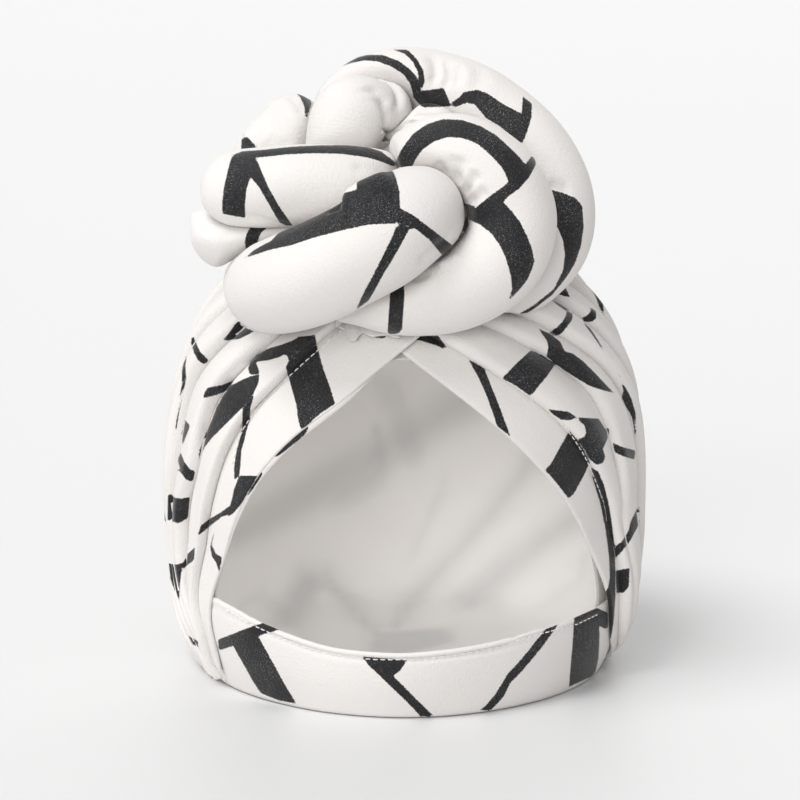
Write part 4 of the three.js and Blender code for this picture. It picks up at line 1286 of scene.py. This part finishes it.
# %% [markdown]
# The light through the printed shell leaves soft shadows of the bars on the wrong side. They are
# painted shadows, charted in the same way as the print but with a wide, soft edge. Real light
# through the shell would draw them too, yet it would need far more samples than a shadow this faint is
# worth.

# %% Painted shadows of the print on the inside
PAINTED_PRINT_SHADOWS = [
    [(225, 527), (260, 500), (297, 480), (333, 460), (373, 443), (413, 417), (447, 393),
     (472, 376), (500, 398), (480, 412), (440, 433), (407, 453), (367, 480), (333, 500),
     (293, 520), (253, 540), (225, 553)],
    [(526, 452), (518, 472), (487, 513), (457, 547), (427, 580), (400, 607), (387, 627),
     (400, 630), (413, 607), (443, 573), (470, 543), (500, 510), (530, 473), (538, 462)],
    [(590, 497), (563, 513), (533, 537), (500, 557), (477, 580), (453, 597), (467, 610),
     (493, 597), (520, 573), (550, 547), (580, 527), (600, 515)],
    [(300, 567), (327, 573), (313, 607), (297, 630), (273, 623), (287, 593)],
    [(327, 566), (343, 590), (373, 622), (392, 642), (380, 646), (360, 626), (334, 596), (320, 575)],
    [(373, 633), (447, 628), (456, 640), (407, 655), (367, 652)],
]
# the bars' shadows on the lining are painted shade, with a soft edge of 13 mm
laid = [eased(cloth_under("cap_lining", fine_outline(outline, 4.0))[0]) for outline in PAINTED_PRINT_SHADOWS]
add_ink("cap_lining", laid, "ghost", 13.0)
ghost = made["cap_lining"]["ghost"]
ghost[:] = smooth(ghost, -10, 8)

for name, item in made.items():
    mesh = item["piece"].data
    for attribute, none in (("ink", -INK_REACH), ("ghost", 0.0)):
        values = item.get(attribute, np.full(len(item["cloth"]), none))
        layer = mesh.attributes.new(attribute, "FLOAT", "POINT")
        layer.data.foreach_set("value", values.astype(np.float32))
print(len(PAINTED_PRINT_SHADOWS), "shadows of bars on the lining")

# %% [markdown]
# The jersey is a brushed cotton knit with a little elastane, printed in pigment. The
# ground is a warm off-white. The ink is a soft black that leaves some white fibre tips
# bare, so it shows fine specks. Fibre ends give both a faint sheen at the edges.

# %% Colours


def linear(hex_colour):
    """sRGB hex to linear colour."""
    c = np.array([int(hex_colour[i : i + 2], 16) for i in (0, 2, 4)]) / 255
    return tuple(np.where(c <= 0.04045, c / 12.92, ((c + 0.055) / 1.055) ** 2.4)) + (1.0,)


def new_material(name):
    """A material with an empty node tree."""
    material = bpy.data.materials.new(name)
    material.use_nodes = True
    material.node_tree.nodes.clear()
    return material


def node(material, kind, settings=None, **links):
    """Adds a node. A link given as a node or (node, output) is joined, a value is set."""
    made_node = material.node_tree.nodes.new(kind)
    for key, value in (settings or {}).items():
        setattr(made_node, key, value)
    for key, value in links.items():
        # _0, _1 and so on count sockets that share a name
        socket = made_node.inputs[int(key[1:]) if key[1:].isdigit() else key.replace("_", " ")]
        if isinstance(value, bpy.types.Node):
            value = (value, 0)
        if isinstance(value, tuple) and len(value) == 2 and isinstance(value[0], bpy.types.Node):
            material.node_tree.links.new(value[0].outputs[value[1]], socket)
        else:
            socket.default_value = value
    return made_node


# %% [markdown]
# The right side of the jersey is off-white with pigment printed on it. The ink attribute
# decides between the two colours with an edge 0.3 mm wide, and a fine noise makes that edge
# wander as ink does on stitches. Nap and ribs are bump, because they are far finer than
# the mesh. One function makes it for the flat, the stuffed and the single cloth.

# %% Printed jersey


def printed_jersey(name, wales, through=0.0):
    """Ground and ink mixed by the ink attribute. wales is the bump of the knit's ribs,
    through the share of daylight that passes a single layer."""
    m = new_material(name)
    place = (node(m, "ShaderNodeTexCoord"), "Object")
    laid = node(m, "ShaderNodeUVMap", {"uv_map": "cloth"})
    ink = node(m, "ShaderNodeAttribute", {"attribute_name": "ink"})
    rgba = {"data_type": "RGBA"}
    # the ink's edge wanders 0.2 mm over stitches of the knit, about 0.5 mm wide
    rough_edge = node(m, "ShaderNodeTexNoise", Vector=place, Scale=1900.0, Detail=2.0)
    wander = node(
        m, "ShaderNodeMapRange", Value=rough_edge, From_Min=0.3, From_Max=0.7, To_Min=-0.22, To_Max=0.22
    )
    edge = node(m, "ShaderNodeMath", {"operation": "ADD"}, _0=(ink, "Fac"), _1=wander)
    black = node(m, "ShaderNodeMapRange", Value=edge, From_Min=-0.15, From_Max=0.15)
    # bare fibre tips of about 0.4 mm, more of them where the cloth is worn
    tips = node(m, "ShaderNodeTexNoise", Vector=place, Scale=2300.0, Detail=3.0, Roughness=0.75)
    bare = node(m, "ShaderNodeMapRange", Value=tips, From_Min=0.57, From_Max=0.68, To_Max=0.75)
    patch = node(m, "ShaderNodeTexNoise", Vector=place, Scale=60.0, Detail=2.0)
    worn = node(m, "ShaderNodeMapRange", Value=patch, From_Min=0.4, From_Max=0.7, To_Min=0.25)
    specks = node(m, "ShaderNodeMath", {"operation": "MULTIPLY"}, _0=bare, _1=worn)
    ink_colour = node(m, "ShaderNodeMix", rgba, Factor=specks, _6=linear("141417"), _7=linear("B8B8BA"))
    cloud = node(m, "ShaderNodeTexNoise", Vector=place, Scale=22.0, Detail=2.0)
    ground = node(m, "ShaderNodeMix", rgba, Factor=cloud, _6=linear("E4E1DE"), _7=linear("DEDAD7"))
    colour = node(m, "ShaderNodeMix", rgba, Factor=black, _6=(ground, 2), _7=(ink_colour, 2))
    rough = node(m, "ShaderNodeMapRange", Value=black, To_Min=0.92, To_Max=0.62)
    nap = node(m, "ShaderNodeTexNoise", Vector=place, Scale=900.0, Detail=3.0)
    # ribs of the knit are 0.5 mm apart; drawn 0.9 mm apart so that they show
    bands = {"bands_direction": "X"}
    ribs = node(m, "ShaderNodeTexWave", bands, Vector=laid, Scale=35.0, Distortion=0.8, Detail=1.0)
    rib_share = node(m, "ShaderNodeMath", {"operation": "MULTIPLY"}, _0=(ribs, "Fac"), _1=wales)
    relief = node(m, "ShaderNodeMath", {"operation": "ADD"}, _0=nap, _1=rib_share)
    bump = node(m, "ShaderNodeBump", Height=relief, Strength=0.6, Distance=0.0005)
    cloth = node(
        m, "ShaderNodeBsdfPrincipled", Base_Color=(colour, 2), Roughness=rough, Normal=bump,
        Sheen_Weight=0.25, Sheen_Roughness=0.4, Specular_IOR_Level=0.3,
    )
    if through:
        glow = node(m, "ShaderNodeBsdfTranslucent", Color=(colour, 2))
        cloth = node(m, "ShaderNodeMixShader", _0=through, _1=cloth, _2=glow)
    node(m, "ShaderNodeOutputMaterial", Surface=cloth)
    print(name, len(m.node_tree.nodes), "nodes")
    return m


jersey_flat = printed_jersey("printed_jersey_ribs", 0.15)
jersey_stuffed = printed_jersey("printed_jersey_brushed", 0.1)
jersey_single = printed_jersey("printed_jersey_single_layer", 0.5, 0.25)

# %% [markdown]
# Inside the cap shows the wrong side of the jersey, unprinted and matt. A single layer
# lets daylight in, and between the pale walls of the hollow that light scatters many
# times. A few bounces of the renderer lose it, so a faint glow stands in for the rest.

# %% Wrong side of the jersey


def wrong_side():
    """Off-white knit with painted greenish-grey shadows of the print and a painted glow."""
    m = new_material("jersey_wrong_side")
    place = (node(m, "ShaderNodeTexCoord"), "Object")
    ghost = node(m, "ShaderNodeAttribute", {"attribute_name": "ghost"})
    rgba = {"data_type": "RGBA"}
    cloud = node(m, "ShaderNodeTexNoise", Vector=place, Scale=16.0, Detail=1.5)
    ground = node(m, "ShaderNodeMix", rgba, Factor=cloud, _6=linear("FBF9F7"), _7=linear("F6F3F0"))
    # painted shadow colour: the shade where the ink blocks light coming through the shell
    shadow = linear("DFDFDD")
    colour = node(m, "ShaderNodeMix", rgba, Factor=(ghost, "Fac"), _6=(ground, 2), _7=shadow)
    nap = node(m, "ShaderNodeTexNoise", Vector=place, Scale=800.0, Detail=3.0)
    bump = node(m, "ShaderNodeBump", Height=nap, Strength=0.2, Distance=0.0003)
    cloth = node(
        m, "ShaderNodeBsdfPrincipled", Base_Color=(colour, 2), Normal=bump, Roughness=0.95,
        Sheen_Weight=0.2,
    )
    through = node(m, "ShaderNodeBsdfTranslucent", Color=(colour, 2))
    both = node(m, "ShaderNodeMixShader", _0=0.15, _1=cloth, _2=through)
    # the glow is stronger near the table, whose pale top throws light up
    height = (node(m, "ShaderNodeSeparateXYZ", Vector=place), "Z")
    level = node(m, "ShaderNodeMapRange", Value=height, From_Max=0.1, To_Min=0.14, To_Max=0.042)
    scattered = node(m, "ShaderNodeEmission", Color=(colour, 2), Strength=level)
    all_light = node(m, "ShaderNodeAddShader", _0=both, _1=scattered)
    node(m, "ShaderNodeOutputMaterial", Surface=all_light)
    m.cycles.emission_sampling = "NONE"
    print(m.name, len(m.node_tree.nodes), "nodes")
    return m


inside_cloth = wrong_side()

# %% [markdown]
# The thread is a smooth polyester. Its twist is a wave along the diagonal, which a picture
# of a thread could give too, but only along one direction.

# %% Thread


def sewing_thread():
    """White polyester thread, twisted about twice a millimetre."""
    m = new_material("white_sewing_thread")
    place = (node(m, "ShaderNodeTexCoord"), "Object")
    twist = node(m, "ShaderNodeTexWave", {"bands_direction": "DIAGONAL"}, Vector=place, Scale=600.0)
    bump = node(m, "ShaderNodeBump", Height=(twist, "Fac"), Strength=0.3, Distance=0.0002)
    thread = node(
        m, "ShaderNodeBsdfPrincipled", Base_Color=linear("E6E3E0"), Roughness=0.5, Normal=bump,
        Sheen_Weight=0.15,
    )
    node(m, "ShaderNodeOutputMaterial", Surface=thread)
    return m


thread = sewing_thread()
for piece in threads:
    piece.data.materials.append(thread)

# %% [markdown]
# Each piece gets the cloth that it is cut from. The wraps are single surfaces until here,
# and now get their wall of 1.1 mm, grown inwards so that the printed face stays in place.

# %% Lay the materials on
CLOTHS = {"cap_lining": inside_cloth, "cap_shell": jersey_single}
for name, item in made.items():
    cloth = jersey_stuffed if name.startswith("roll") else jersey_flat
    item["piece"].data.materials.append(CLOTHS.get(name, cloth))

for piece in (wrap_left, wrap_right):
    walled(piece, 0.0011, -1.0)
print("materials", sorted(m.name for m in bpy.data.materials))

# %% [markdown]


# %% [markdown]
# A plain pale table and soft light from a large window at the upper left, with a weaker
# light from the front that reaches into the hollow and one from behind that fills the
# room. Area lamps would do as well, but a sun with a wide angle is even over the object.

# %% Floor, light
floor_mesh = bpy.data.meshes.new("table_top")
REACH = 30
corners = [(x * REACH, y * REACH, 0) for x, y in ((-1, -1), (1, -1), (1, 1), (-1, 1))]
floor_mesh.from_pydata(corners, [], [(0, 1, 2, 3)])
floor = bpy.data.objects.new("table_top", floor_mesh)
bpy.context.scene.collection.objects.link(floor)
paper = bpy.data.materials.new("matt_table")
paper.use_nodes = True
paper.node_tree.nodes["Principled BSDF"].inputs["Base Color"].default_value = linear("DFDFDF")
floor_mesh.materials.append(paper)

world = bpy.data.worlds.new("studio")
bpy.context.scene.world = world
world.use_nodes = True
world.node_tree.nodes["Background"].inputs["Color"].default_value = (1, 1, 1, 1)
world.node_tree.nodes["Background"].inputs["Strength"].default_value = 0.5


def soft_sun(name, towards, strength, spread):
    """Parallel light along a direction, spread over an angle in degrees as by a large window."""
    lamp = bpy.data.objects.new(name, bpy.data.lights.new(name, "SUN"))
    lamp.data.energy, lamp.data.angle = strength, math.radians(spread)
    lamp.rotation_euler = Vector(towards).to_track_quat("-Z", "Y").to_euler()
    bpy.context.scene.collection.objects.link(lamp)
    return lamp


soft_sun("window", (0.45, 0.35, -1.0), 1.75, 30)
soft_sun("fill", (0.36, 1.0, -0.33), 1.12, 34)
soft_sun("from_behind", (-0.15, -1.0, -0.45), 0.65, 60)
bpy.context.scene.view_settings.view_transform = "Standard"
print("lights", sorted(lamp.name for lamp in bpy.data.lights))
